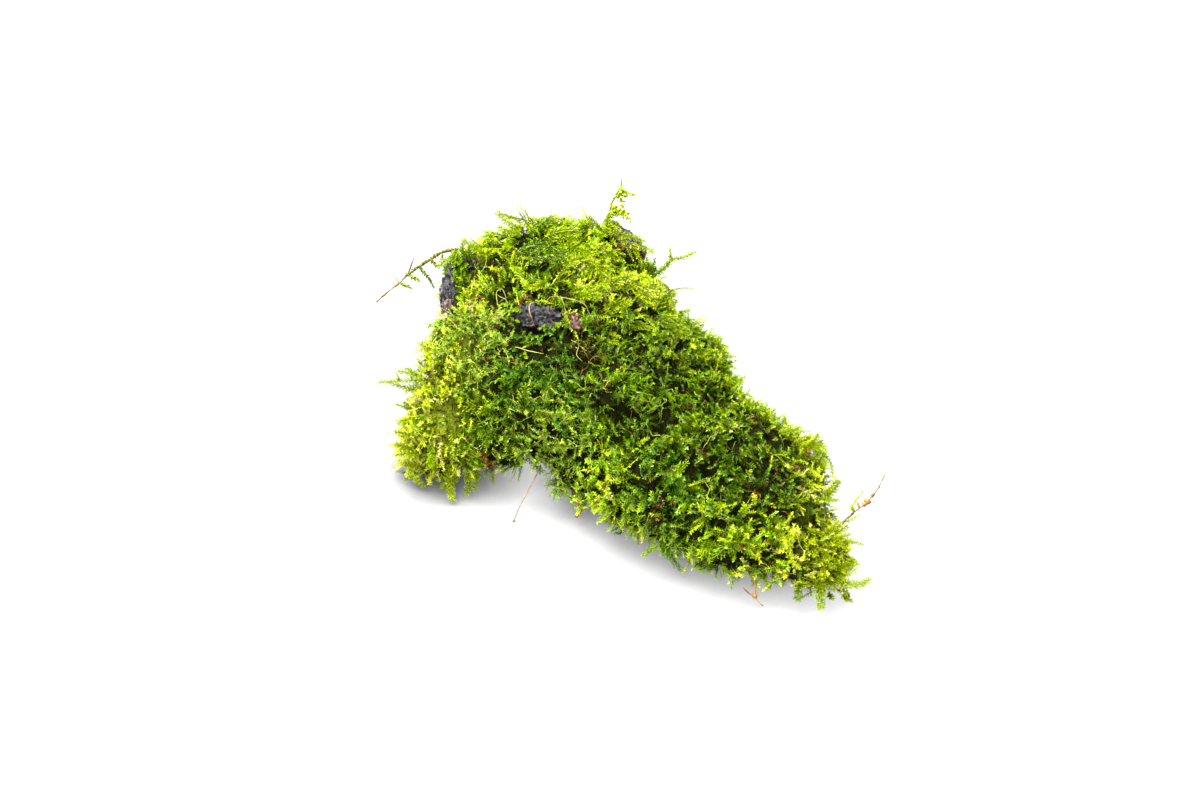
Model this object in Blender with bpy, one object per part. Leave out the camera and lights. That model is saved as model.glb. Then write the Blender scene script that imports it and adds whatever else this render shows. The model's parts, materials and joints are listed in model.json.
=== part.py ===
# A clump of feather moss, picked from the bark that it grew on.
# +Z is up, +X runs to the clump's right-hand end and -Y faces the viewer.
# The origin lies on the flat of the underside, under the thickest growth.

import math
import random

import bmesh
import bpy
from mathutils import Euler, Matrix, Vector, noise
from mathutils.bvhtree import BVHTree

MM = 0.001
SEED = 11

# The growth that merges into the mat: centre x, y, z and half size x, y, z in mm,
# then the turn about Z in degrees.
GROWTH = {
    "shoulder_top": (-41, 49, 27, 11, 13, 12, 0),
    "left_shoulder": (-38, 42, 22, 15, 17, 17, 0),
    "back_left": (-28, 50, 29, 16, 17, 15, 0),
    "back_middle": (-18, 50, 31, 15, 16, 13, 0),
    "back_right": (-8, 50, 27, 15, 16, 15, 0),
    "back_base_left": (-34, 42, 9, 19, 19, 13, 0),
    "back_base_right": (-8, 38, 9, 19, 22, 13, 0),
    "ridge_back": (-12, 24, 27, 27, 26, 18, 0),
    "ridge_middle": (3, 7, 23, 23, 28, 18, -20),
    "ridge_front": (21, -14, 17, 23, 23, 15, -30),
    "middle_base": (4, 2, 9, 24, 24, 13, -30),
    "right_shoulder": (39, -18, 14, 13, 12, 11, -20),
    "right_end": (38, -31, 12, 16, 15, 13, -20),
    "right_tip": (47, -45, 7, 10, 12, 9, -40),
    "front_middle": (5, -20, 13, 21, 16, 15, -38),
    "front_right": (25, -36, 10, 19, 12, 12, -25),
    "front_left": (-24, 0, 22, 21, 14, 13, 0),
    "left_foot": (-52, 1, 10.5, 13, 12, 13, 0),
    "left_flank": (-42, 18, 22, 17, 20, 17, 0),
    "foot_bridge": (-39, -3, 14.5, 13, 11, 11, 0),
    "arch_side": (-14, -11, 11, 9, 8, 9, 0),
    "front_gap": (13, -34, 8, 11, 9, 8, -30),
}
VOXEL = 2.2 * MM
BLEND_FACTOR = 0.5
BLEND_ROUNDS = 10
HUMMOCK_SPACING = 17 * MM
HUMMOCK_HEIGHT = 5 * MM
RELIEF_SPACING = 6.5 * MM
RELIEF_HEIGHT = 3.2 * MM
MAT_SHARE = 0.22
FLOOR_HALF = 150 * MM

# Tufts are pulled out of single faces of the mat.
TUFT_COUNT = 860
TUFT_LENGTH = (2.6 * MM, 5.2 * MM)
TUFT_LEAN = 0.27
TUFT_SCATTER = 0.18
TUFT_LEAST_RISE = -0.55
TUFT_FACE_AREA = 2.2 * MM * MM
TUFT_LOWEST = 2.0 * MM
TUFT_CLEARANCE = 2.6 * MM
TIP_LOWEST = 0.6 * MM
UNTANGLE_ROUNDS = 8

# Loose pieces lie in pockets of the mat that leave this much room around them.
POCKET_MARGIN = 0.55 * MM

# Bark: centre, then length, width and thickness in mm,
# then the turns about X, Y and Z and the bend across it in degrees.
BARK = {
    "bark_left": ((-47.4, 43.2, 33.5), (17.5, 15, 4.5), (8, -24, 82), 70),
    "bark_centre": ((-26, 16.4, 42.2), (14.5, 8.5, 5.0), (18, 2, -16), 40),
    "bark_right": ((-1.6, 59, 38.0), (16.5, 8, 5.5), (-12, 10, -45), 50),
    "bark_chip": ((-15.2, 12.2, 43.4), (6.5, 4.0, 3.0), (0, 14, -72), 20),
}
BARK_FURROW = 0.8 * MM
FURROWS_ALONG = 90
FURROWS_ACROSS = 420
BARK_ROUGHNESS = 0.5 * MM
BARK_GRAINS = 380

# A torn piece has no square ends: its corners are pulled in by this share, from this far out.
CORNER_PULL = 0.28
CORNER_START = 1.1

DEAD_LEAF_CENTRE = (-51.5, 30.5, 33.0)
DEAD_LEAF_SIZE = (7.0, 5.0, 0.6)
DEAD_LEAF_TURN = (20, -50, 70)
DEAD_LEAF_BEND = 90

# Stray shoots: the radius at the foot and at the tip, the stem's points, and the side branches in mm.
# Each branch starts with the number of the stem point that it grows from.
SHOOTS = {
    "shoot_upper_left": {
        "radius": (0.9, 0.35),
        "stem": [(-46, 55.6, 35), (-50.2, 54.6, 38), (-54.4, 52, 38), (-57.4, 49.4, 36.8), (-60.6, 47, 35.7),
                 (-63.7, 45, 34.4), (-66.1, 43.2, 32.8), (-68.3, 42, 31.6), (-70.9, 40, 30.4),
                 (-72.5, 38.6, 29.4)],
        "branches": [[3, (-55.6, 45.8, 36.9)], [4, (-58.0, 43.5, 34.8), (-56.3, 40.3, 33.8)],
                     [5, (-60.6, 42.6, 34.2)], [6, (-62.6, 40.4, 33.2)], [5, (-62.0, 48.6, 37.8)]],
    },
    "shoot_top": {
        "radius": (1.2, 0.3),
        "stem": [(-11.6, 60.2, 37.5), (-10.0, 62.8, 41.2), (-7.2, 65.2, 43.8), (-4.8, 67.3, 46),
                 (-3.4, 68.7, 47.8), (-2.9, 70.6, 50)],
        "branches": [[4, (0.4, 67.4, 46.4)], [3, (-1.4, 65.2, 45.2)],
                     [2, (-3.4, 65.6, 43.6), (-0.8, 65.0, 43.6)],
                     [1, (-6.0, 63.2, 42.8), (-2.4, 63.4, 43.2)]],
    },
    "shoot_right_upper": {
        "radius": (0.75, 0.4),
        "stem": [(1.5, 45, 31), (5.4, 46, 33.2), (8.1, 46.8, 34), (9.8, 47.9, 35.3), (11.2, 48.9, 36.5),
                 (15, 50, 37), (18.4, 51.2, 37.8)],
        "branches": [[4, (11, 51, 39)], [1, (6.6, 49.2, 36.4)]],
    },
    "shoot_right_lower": {
        "radius": (0.6, 0.3),
        "stem": [(6.5, 25.5, 33), (8.9, 27.2, 37), (10.3, 29.3, 38), (10.6, 31.2, 38.7), (12.1, 32.4, 38.9),
                 (14.7, 32.8, 39.1), (16.8, 32.7, 39)],
        "branches": [[2, (8.2, 31.4, 38.6), (7.7, 33.8, 40.6)]],
    },
    "shoot_left": {
        "radius": (0.8, 0.4),
        "stem": [(-54, 10.5, 22.5), (-57.6, 10.4, 24.2), (-61.4, 10.7, 23.9), (-64.8, 10.6, 23.5),
                 (-67.9, 10.4, 23.2), (-71, 10.4, 23.2)],
        "branches": [[3, (-65.6, 12.2, 25.2)], [2, (-61.8, 13.2, 25.6)]],
    },
    "shoot_foot_left": {
        "radius": (0.8, 0.4),
        "stem": [(-59, -3, 7.5), (-61.4, -6.6, 6.4), (-59.4, -9.4, 4.6), (-56.8, -12, 2.6),
                 (-53.8, -12.8, 2.4)],
        "branches": [[2, (-61.2, -11.4, 3.2)]],
    },
    "shoot_foot_middle": {
        "radius": (0.9, 0.5),
        "stem": [(-50.8, -5, 6.4), (-50.5, -8.8, 4.2), (-50.3, -11.4, 2.4), (-50, -14.8, 1.2)],
        "branches": [],
    },
    "shoot_foot_right": {
        "radius": (0.9, 0.5),
        "stem": [(-45.2, -3.8, 5.8), (-45.4, -8, 3.8), (-45.6, -12.6, 1.6)],
        "branches": [],
    },
    "shoot_arch": {
        "radius": (0.7, 0.4),
        "stem": [(-38.8, -3.4, 11), (-38.9, -7.4, 7.4), (-38.8, -10.8, 4.2)],
        "branches": [],
    },
    "shoot_right_end": {
        "radius": (0.9, 0.5),
        "stem": [(51.5, -50, 7.5), (53.2, -55, 8.8), (55.8, -57.4, 9), (58.8, -57.3, 9.2),
                 (62.3, -55.6, 9.6)],
        "branches": [[2, (57.2, -59.4, 8.6)]],
    },
    "shoot_front_long": {
        "radius": (1.0, 0.5),
        "stem": [(48.2, -51, 8.4), (48.8, -55.8, 8.2), (49.1, -59.0, 6.8), (49, -61.8, 5.2)],
        "branches": [[2, (51.2, -60.4, 6.0)]],
    },
    "shoot_front_short": {
        "radius": (0.9, 0.5),
        "stem": [(43.6, -51.5, 6.6), (43.4, -55.8, 5.6), (43.0, -59.6, 4.0)],
        "branches": [[1, (41.4, -58.2, 4.6)]],
    },
    "shoot_right_side": {
        "radius": (0.8, 0.4),
        "stem": [(51, -41.5, 11.5), (55, -41.6, 13.6), (58.6, -40.6, 14.4), (61.6, -41.0, 13.6)],
        "branches": [[2, (60.2, -38.0, 15.6)]],
    },
}
# Dead stems and roots, in the same form.
DRY_STEMS = {
    "dry_stem_right": {
        "material": "dry_stem",
        "radius": (0.8, 0.3),
        "stem": [(50.5, -43.4, 12.5), (53.8, -40.9, 15.6), (56.9, -38.3, 17.6), (61.2, -34.5, 19.2),
                 (64.2, -30.6, 20.6), (66.4, -27.8, 21.6), (68.2, -25.1, 22.4)],
        "branches": [[3, (59.6, -33.2, 21.6)], [4, (66.0, -32.4, 19.4)]],
    },
    "dry_stem_front": {
        "material": "dry_stem",
        "radius": (0.55, 0.35),
        "stem": [(29.3, -47, 6.2), (29.8, -51.4, 6.4), (30.8, -54.0, 5.4), (32.4, -56.2, 3.8),
                 (34.4, -58.2, 2.2)],
        "branches": [[2, (28.8, -55.4, 4.4), (30.6, -57.4, 3.0)]],
    },
    "dry_curl": {
        "material": "dry_stem",
        "radius": (0.6, 0.45),
        "stem": [(-14.4, -13.0, 8.4), (-16.0, -17.0, 6.8), (-15.4, -19.4, 5.2), (-13.4, -21.2, 3.4),
                 (-15.2, -23.6, 1.8)],
        "branches": [],
    },
    "grass_stalk": {
        "material": "straw",
        "radius": (0.35, 0.3),
        "stem": [(-24.6, -5.4, 12.4), (-25.4, -9.0, 9.6), (-26.6, -11.2, 7.8), (-28.6, -14.6, 5.6),
                 (-30.9, -18.4, 3.4), (-32.6, -22.6, 1.3)],
        "branches": [],
    },
    "root_over_bark": {
        "material": "straw",
        "radius": (0.5, 0.45),
        "stem": [(-28.0, 22.8, 40.0), (-28.4, 21.4, 43.6), (-28.8, 17.6, 45.4), (-28.6, 13.8, 44.2),
                 (-28.2, 11.4, 42.0), (-28.0, 10.4, 38.6)],
        "branches": [],
    },
    "root_beside_bark": {
        "material": "straw",
        "radius": (0.5, 0.4),
        "stem": [(-24.4, 22.6, 40.6), (-21.8, 22.2, 44.0), (-18.6, 21.6, 45.2), (-14.6, 20.4, 45.0),
                 (-12.0, 17.6, 44.6), (-11.4, 14.8, 43.4), (-11.4, 12.6, 39.6)],
        "branches": [],
    },
}
SHOOT_SPACING = 3.0
SHOOT_SWELL = 0.5
DRY_SPACING = 6.0
WELD = 0.01 * MM

COLOURS = {
    "moss": ((0.16, 0.27, 0.02, 1), 0.6),
    "bark": ((0.06, 0.05, 0.05, 1), 0.85),
    "dead_leaf": ((0.10, 0.04, 0.01, 1), 0.8),
    "dry_stem": ((0.34, 0.12, 0.03, 1), 0.8),
    "straw": ((0.55, 0.45, 0.20, 1), 0.7),
}


def clear_scene():
    for obj in list(bpy.data.objects):
        bpy.data.objects.remove(obj)


def make_material(name):
    colour, roughness = COLOURS[name]
    material = bpy.data.materials.new(name)
    material.use_nodes = True
    surface = material.node_tree.nodes["Principled BSDF"]
    surface.inputs["Base Color"].default_value = colour
    surface.inputs["Roughness"].default_value = roughness
    surface.inputs["Metallic"].default_value = 0
    return material


def new_object(name, bm):
    mesh = bpy.data.meshes.new(name)
    bm.to_mesh(mesh)
    bm.free()
    obj = bpy.data.objects.new(name, mesh)
    bpy.context.scene.collection.objects.link(obj)
    return obj


def apply_modifiers(obj):
    bpy.context.view_layer.update()
    graph = bpy.context.evaluated_depsgraph_get()
    mesh = bpy.data.meshes.new_from_object(obj.evaluated_get(graph))
    obj.modifiers.clear()
    obj.data = mesh


# Bark and the dead leaf

def bent_slab(length, width, thickness, bend, cuts):
    # The slab lies along X and curls down along both long sides.
    bm = bmesh.new()
    bmesh.ops.create_cube(bm, size=1)
    bmesh.ops.subdivide_edges(bm, edges=bm.edges, cuts=cuts, use_grid_fill=True)
    radius = width / math.radians(bend)
    for vert in bm.verts:
        angle = vert.co.y * math.radians(bend)
        reach = radius + (vert.co.z - 0.5) * thickness
        vert.co = Vector((vert.co.x * length, reach * math.sin(angle), reach * math.cos(angle) - radius))
    return bm


def round_outline(bm, length, width):
    for vert in bm.verts:
        end = abs(vert.co.x) / (length / 2)
        side = abs(vert.co.y) / (width / 2)
        pull = 1 - CORNER_PULL * max(0, end + side - CORNER_START)
        vert.co.x *= pull
        vert.co.y *= pull


def make_bark(name, centre, size, turns, bend):
    length, width, thickness = [side * MM for side in size]
    bm = bent_slab(length, width, thickness, bend, cuts=3)
    round_outline(bm, length, width)
    bm.normal_update()
    moved = []
    for vert in bm.verts:
        along = Vector((vert.co.x * FURROWS_ALONG, vert.co.y * FURROWS_ACROSS, centre[0]))
        spot = vert.co * BARK_GRAINS + Vector(centre)
        shift = noise.noise(along) * BARK_FURROW + noise.noise(spot) * BARK_ROUGHNESS
        moved.append(vert.co + vert.normal * shift)
    for vert, place in zip(bm.verts, moved):
        vert.co = place
    bark = new_object(name, bm)
    bark.location = Vector(centre) * MM
    bark.rotation_euler = Euler([math.radians(turn) for turn in turns])
    bark.data.materials.append(bpy.data.materials["bark"])
    return bark


def make_dead_leaf():
    length, width, thickness = [side * MM for side in DEAD_LEAF_SIZE]
    bm = bent_slab(length, width, thickness, DEAD_LEAF_BEND, cuts=2)
    round_outline(bm, length, width)
    leaf = new_object("dead_leaf", bm)
    leaf.location = Vector(DEAD_LEAF_CENTRE) * MM
    leaf.rotation_euler = Euler([math.radians(turn) for turn in DEAD_LEAF_TURN])
    leaf.data.materials.append(bpy.data.materials["dead_leaf"])
    return leaf


# Stray shoots and dead stems

def spaced_run(points, spacing):
    # Every straight stretch is divided evenly, about one spacing apart.
    run = [Vector(points[0])]
    for start, end in zip(points, points[1:]):
        start, end = Vector(start), Vector(end)
        steps = max(1, round((end - start).length / spacing))
        run += [start.lerp(end, step / steps) for step in range(1, steps + 1)]
    return run


def make_run(name, points, first_radius, last_radius, swell):
    curve = bpy.data.curves.new(name, "CURVE")
    curve.dimensions = "3D"
    curve.bevel_depth = MM
    curve.bevel_resolution = 0
    curve.use_fill_caps = True
    spline = curve.splines.new("POLY")
    last = len(points) - 1
    spline.points.add(last)
    for count, (knot, place) in enumerate(zip(spline.points, points)):
        radius = first_radius + (last_radius - first_radius) * count / last
        if count % 2 and count < last:
            radius *= 1 + swell
        knot.co = (*(place * MM), 1)
        knot.radius = radius
    tube = bpy.data.objects.new(name + "_tube", curve)
    bpy.context.scene.collection.objects.link(tube)
    bpy.context.view_layer.update()
    graph = bpy.context.evaluated_depsgraph_get()
    bm = bmesh.new()
    bm.from_mesh(bpy.data.meshes.new_from_object(tube.evaluated_get(graph)))
    bmesh.ops.remove_doubles(bm, verts=bm.verts, dist=WELD)
    bmesh.ops.recalc_face_normals(bm, faces=bm.faces)
    bpy.data.objects.remove(tube)
    return new_object(name, bm)


def make_stem(name, radius, stem, branches, spacing, swell, material):
    foot, tip = radius
    shoot = make_run(name, spaced_run(stem, spacing), foot, tip, swell)
    for mark, *points in branches:
        route = spaced_run([stem[mark]] + points, spacing)
        branch = make_run(name + "_branch", route, (foot + tip) / 2, tip, swell)
        join = shoot.modifiers.new("join", "BOOLEAN")
        join.operation = "UNION"
        join.object = branch
        apply_modifiers(shoot)
        bpy.data.objects.remove(branch)
    shoot.data.materials.clear()
    shoot.data.materials.append(bpy.data.materials[material])
    return shoot


# The mat

def merged_growth():
    bm = bmesh.new()
    for x, y, z, half_x, half_y, half_z, turn in GROWTH.values():
        place = Matrix.LocRotScale(
            Vector((x, y, z)) * MM,
            Euler((0, 0, math.radians(turn))),
            Vector((half_x, half_y, half_z)) * MM,
        )
        bmesh.ops.create_icosphere(bm, subdivisions=4, radius=1, matrix=place)
    return new_object("moss_mat", bm)


def add_relief(obj, name, spacing, height):
    texture = bpy.data.textures.new(name, "CLOUDS")
    texture.noise_scale = spacing
    texture.noise_depth = 0
    texture.noise_basis = "ORIGINAL_PERLIN"
    relief = obj.modifiers.new(name, "DISPLACE")
    relief.texture = texture
    relief.texture_coords = "LOCAL"
    relief.strength = height
    relief.mid_level = 0.5


def below_floor():
    bm = bmesh.new()
    place = Matrix.Translation((0, 0, -FLOOR_HALF)) @ Matrix.Scale(2 * FLOOR_HALF, 4)
    bmesh.ops.create_cube(bm, size=1, matrix=place)
    return new_object("below_floor", bm)


def pocket_around(obj):
    pocket = obj.copy()
    pocket.data = obj.data.copy()
    pocket.name = obj.name + "_pocket"
    bpy.context.scene.collection.objects.link(pocket)
    room = pocket.modifiers.new("room", "DISPLACE")
    room.strength = POCKET_MARGIN
    room.mid_level = 0
    return pocket


def cut_away(mat, cutters):
    # One Boolean takes all the cutters, so that the mat's corners are rounded off only once.
    group = bpy.data.collections.new("cutters")
    bpy.context.scene.collection.children.link(group)
    for cutter in cutters:
        cutter.hide_render = True
        cutter.display_type = "WIRE"
        group.objects.link(cutter)
    cut = mat.modifiers.new("cut", "BOOLEAN")
    cut.operation = "DIFFERENCE"
    cut.operand_type = "COLLECTION"
    cut.collection = group
    apply_modifiers(mat)
    for cutter in cutters:
        bpy.data.objects.remove(cutter)
    bpy.data.collections.remove(group)


def tree_in_world(obj):
    bm = bmesh.new()
    bm.from_mesh(obj.data)
    bm.transform(obj.matrix_world)
    tree = BVHTree.FromBMesh(bm)
    bm.free()
    return tree


def drop_flaps(bm):
    # Two faces on the same corners have nothing between them.
    sharing = {}
    for face in bm.faces:
        sharing.setdefault(frozenset(face.verts), []).append(face)
    flaps = [face for faces in sharing.values() if len(faces) == 2 for face in faces]
    bmesh.ops.delete(bm, geom=flaps, context="FACES")


def near_any(trees, point, reach):
    return any(tree.find_nearest(point, reach)[0] is not None for tree in trees)


def tuft_faces(bm, trees):
    faces = list(bm.faces)
    random.shuffle(faces)
    taken = set()
    chosen = []
    for face in faces:
        centre = face.calc_center_median()
        if centre.z < TUFT_LOWEST or face.calc_area() < TUFT_FACE_AREA:
            continue
        if face.normal.z < TUFT_LEAST_RISE:
            continue
        neighbours = {other.index for edge in face.edges for other in edge.link_faces}
        if neighbours & taken or near_any(trees, centre, TUFT_CLEARANCE):
            continue
        taken.add(face.index)
        chosen.append(face)
        if len(chosen) == TUFT_COUNT:
            break
    return chosen


def crossing_faces(bm):
    tree = BVHTree.FromBMesh(bm)
    bm.faces.ensure_lookup_table()
    crossing = set()
    for first, second in tree.overlap(tree):
        if first < second and not set(bm.faces[first].verts) & set(bm.faces[second].verts):
            crossing |= {first, second}
    return [bm.faces[index] for index in crossing]


def raise_tufts(mat, loose_pieces):
    trees = [tree_in_world(piece) for piece in loose_pieces]
    bm = bmesh.new()
    bm.from_mesh(mat.data)
    bmesh.ops.triangulate(bm, faces=bm.faces)
    bmesh.ops.remove_doubles(bm, verts=bm.verts, dist=WELD)
    bmesh.ops.dissolve_degenerate(bm, edges=bm.edges, dist=WELD)
    drop_flaps(bm)
    bm.normal_update()
    bm.faces.index_update()
    feet = {}
    for face in tuft_faces(bm, trees):
        outward = face.normal.copy()
        centre = face.calc_center_median()
        lean = Vector((centre.x, centre.y, 0)).normalized() * TUFT_LEAN
        lean += Vector([random.uniform(-TUFT_SCATTER, TUFT_SCATTER) for _ in range(3)])
        reach = random.uniform(*TUFT_LENGTH)
        tip = bmesh.ops.poke(bm, faces=[face])["verts"][0]
        feet[tip] = centre
        tip.co = centre + (outward + lean).normalized() * reach
        tip.co.z = max(tip.co.z, TIP_LOWEST)
        if near_any(trees, tip.co, TUFT_CLEARANCE):
            tip.co = centre
    for _ in range(UNTANGLE_ROUNDS):
        bm.normal_update()
        crossing = crossing_faces(bm)
        for face in crossing:
            for vert in face.verts:
                if vert in feet:
                    vert.co = vert.co.lerp(feet[vert], 0.5)
        if not crossing:
            break
    bm.to_mesh(mat.data)
    bm.free()


def make_mat(loose_pieces):
    mat = merged_growth()
    union = mat.modifiers.new("union", "REMESH")
    union.mode = "VOXEL"
    union.voxel_size = VOXEL
    blend = mat.modifiers.new("blend", "SMOOTH")
    blend.factor = BLEND_FACTOR
    blend.iterations = BLEND_ROUNDS
    add_relief(mat, "hummocks", HUMMOCK_SPACING, HUMMOCK_HEIGHT)
    add_relief(mat, "relief", RELIEF_SPACING, RELIEF_HEIGHT)
    thin = mat.modifiers.new("thin", "DECIMATE")
    thin.ratio = MAT_SHARE
    cut_away(mat, [below_floor()] + [pocket_around(piece) for piece in loose_pieces])
    raise_tufts(mat, loose_pieces)
    mat.data.materials.clear()
    mat.data.materials.append(bpy.data.materials["moss"])
    return mat


def main():
    clear_scene()
    random.seed(SEED)
    for name in COLOURS:
        make_material(name)
    loose = [make_bark(name, *values) for name, values in BARK.items()]
    loose.append(make_dead_leaf())
    for name, shoot in SHOOTS.items():
        loose.append(make_stem(name, **shoot, spacing=SHOOT_SPACING, swell=SHOOT_SWELL, material="moss"))
    for name, stem in DRY_STEMS.items():
        loose.append(make_stem(name, **stem, spacing=DRY_SPACING, swell=0))
    bpy.context.view_layer.update()
    make_mat(loose)


main()
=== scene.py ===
# The looks of a clump of feather moss: leafy shoots, bark flakes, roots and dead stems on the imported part.
# Sizes in the dictionaries are in millimetres, with X to the low end, Z up and the viewer at -Y.
import json
import math
import random

import bmesh
import bpy
import numpy as np
from mathutils import Euler, Matrix, Vector, noise
from mathutils.bvhtree import BVHTree

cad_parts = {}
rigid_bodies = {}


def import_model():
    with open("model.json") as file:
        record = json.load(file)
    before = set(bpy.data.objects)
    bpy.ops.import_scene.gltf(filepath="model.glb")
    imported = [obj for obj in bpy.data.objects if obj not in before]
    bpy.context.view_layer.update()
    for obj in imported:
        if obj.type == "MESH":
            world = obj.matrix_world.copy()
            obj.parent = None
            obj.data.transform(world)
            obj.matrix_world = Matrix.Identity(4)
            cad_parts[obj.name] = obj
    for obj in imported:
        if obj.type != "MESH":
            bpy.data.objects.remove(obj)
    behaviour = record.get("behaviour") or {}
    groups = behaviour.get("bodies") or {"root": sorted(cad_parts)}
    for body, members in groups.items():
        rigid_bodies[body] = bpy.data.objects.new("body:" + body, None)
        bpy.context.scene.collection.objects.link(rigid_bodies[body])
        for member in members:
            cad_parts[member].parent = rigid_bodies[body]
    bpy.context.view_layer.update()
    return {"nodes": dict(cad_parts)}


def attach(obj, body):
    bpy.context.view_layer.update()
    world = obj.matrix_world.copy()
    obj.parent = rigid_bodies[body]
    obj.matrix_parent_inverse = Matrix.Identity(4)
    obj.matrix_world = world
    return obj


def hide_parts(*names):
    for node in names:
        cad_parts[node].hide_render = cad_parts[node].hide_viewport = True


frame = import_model()
nodes = frame["nodes"]
mm = 0.001
random.seed(7)
chance = np.random.default_rng(7)
print("frame loaded with", len(nodes), "nodes")


# Camera, light and floor

view = {
    "target": (-9, 12, 15.5),
    "distance": 800,
    "elevation": 40,
    "lens": 85.7,
}
studio = {
    # name: place, size and power
    "lamps": {
        "key": ((-640, 450, 1880), 1400, 286),
        "back": ((480, 1300, 1500), 900, 72),
        "front": ((-510, -1620, 1290), 900, 88),
    },
    "skyStrength": 0.14,
    "floorHalf": 4000,
    "floorColour": (0.045, 0.045, 0.044, 1),
    "floorGlow": 0.95,
    "paintedShadowReach": 12,         # reach of the painted soft shadow under the clump
    "paintedShadowDark": 1.1,    # its strength at X 0
    "paintedShadowFade": -16,    # and the change per metre towards the low end
    "paintedShadowSamples": 8,
}


def lookAt(place, target):
    way = Vector(target) - Vector(place)
    return way.to_track_quat("-Z", "Y").to_matrix().to_4x4()


def setCamera():
    tilt = math.radians(view["elevation"])
    target = Vector(view["target"]) * mm
    place = target + Vector((0, -math.cos(tilt), math.sin(tilt))) * view["distance"] * mm
    data = bpy.data.cameras.new("camera")
    data.lens = view["lens"]
    data.sensor_width = 36
    data.clip_start = 0.01
    camera = bpy.data.objects.new("camera", data)
    camera.matrix_world = Matrix.Translation(place) @ lookAt(place, target)
    bpy.context.scene.collection.objects.link(camera)
    bpy.context.scene.camera = camera


def addSoftbox(name, place, size, power):
    data = bpy.data.lights.new(name, "AREA")
    data.shape = "DISK"
    data.size = size * mm
    data.energy = power
    lamp = bpy.data.objects.new(name, data)
    spot = Vector(place) * mm
    lamp.matrix_world = Matrix.Translation(spot) @ lookAt(spot, Vector(view["target"]) * mm)
    bpy.context.scene.collection.objects.link(lamp)


def addMath(tree, operation, first, second, third=0):
    node = tree.nodes.new("ShaderNodeMath")
    node.operation = operation
    tree.links.new(first, node.inputs[0])
    node.inputs[1].default_value = second
    node.inputs[2].default_value = third
    return node.outputs["Value"]


def setStudio():
    for name, (place, size, power) in studio["lamps"].items():
        addSoftbox(name, place, size, power)
    world = bpy.data.worlds.new("white room")
    world.use_nodes = True
    sky = world.node_tree.nodes["Background"]
    sky.inputs["Color"].default_value = (1, 1, 1, 1)
    sky.inputs["Strength"].default_value = studio["skyStrength"]
    bpy.context.scene.world = world
    bpy.context.scene.view_settings.view_transform = "Standard"


def setFloor():
    bm = bmesh.new()
    bmesh.ops.create_grid(bm, x_segments=1, y_segments=1, size=studio["floorHalf"] * mm)
    mesh = bpy.data.meshes.new("floor")
    bm.to_mesh(mesh)
    bm.free()
    floor = bpy.data.objects.new("floor", mesh)
    bpy.context.scene.collection.objects.link(floor)
    paper = bpy.data.materials.new("white paper")
    paper.use_nodes = True
    tree = paper.node_tree
    sheet = tree.nodes["Principled BSDF"]
    sheet.inputs["Base Color"].default_value = studio["floorColour"]
    sheet.inputs["Roughness"].default_value = 0.9
    # The paper glows evenly white, but the glow is darkened where the clump stands over it: a painted contact
    # shadow that grows weaker towards the low end.
    paintedShadowOpenness = tree.nodes.new("ShaderNodeAmbientOcclusion")
    paintedShadowOpenness.samples = studio["paintedShadowSamples"]
    paintedShadowOpenness.inputs["Distance"].default_value = studio["paintedShadowReach"] * mm
    place = tree.nodes.new("ShaderNodeTexCoord")
    apart = tree.nodes.new("ShaderNodeSeparateXYZ")
    tree.links.new(place.outputs["Object"], apart.inputs["Vector"])
    strength = addMath(tree, "MULTIPLY_ADD", apart.outputs["X"], studio["paintedShadowFade"], studio["paintedShadowDark"])
    darker = addMath(tree, "POWER", paintedShadowOpenness.outputs["AO"], 1)
    tree.links.new(strength, darker.node.inputs[1])
    glow = addMath(tree, "MULTIPLY", darker, studio["floorGlow"])
    sheet.inputs["Emission Color"].default_value = (1, 1, 1, 1)
    tree.links.new(glow, sheet.inputs["Emission Strength"])
    mesh.materials.append(paper)


setCamera()
setStudio()
setFloor()
print("camera, light and floor set")


# Meshes

def newPiece(name, mesh, material, replaced):
    # Every finished piece stands at the origin and rides on the one body.
    piece = bpy.data.objects.new(name, mesh)
    bpy.context.scene.collection.objects.link(piece)
    mesh.materials.clear()
    mesh.materials.append(material)
    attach(piece, "root")
    if replaced:
        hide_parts(*replaced)
    return piece


def mergedCopy(node):
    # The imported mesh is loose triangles, so its copy is merged before anything shapes it.
    bm = bmesh.new()
    bm.from_mesh(nodes[node].data)
    bmesh.ops.remove_doubles(bm, verts=bm.verts, dist=0.001 * mm)
    return bm


def evaluatedMesh(obj):
    bpy.context.view_layer.update()
    graph = bpy.context.evaluated_depsgraph_get()
    mesh = bpy.data.meshes.new_from_object(obj.evaluated_get(graph))
    bpy.data.objects.remove(obj)
    return mesh


# A leafy axis: a thin stem along a path, with leaves set round it in a spiral.
# Palette coordinates go with every corner: x is the tone of the leaf,
# and y runs from its dark foot to its bright tip: partly the age of the shoot, partly painted shade
# towards the foot and a painted highlight at the tip.

goldenTurn = math.radians(137.5)


def newShoot():
    bm = bmesh.new()
    return bm, (bm.verts.layers.float.new("toneShift"), bm.verts.layers.float.new("ageAndShade"))


def framesAlong(path):
    # Frames carried along the path, so that the leaves don't jump round the stem.
    frames = []
    across = Vector((1, 0, 0))
    for number, point in enumerate(path):
        before = path[max(number - 1, 0)]
        after = path[min(number + 1, len(path) - 1)]
        along = (after - before).normalized()
        across = across - along * across.dot(along)
        if across.length < 0.05:
            across = along.orthogonal()
        across.normalize()
        frames.append((point, across.copy(), along.cross(across), along))
    return frames


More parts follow.
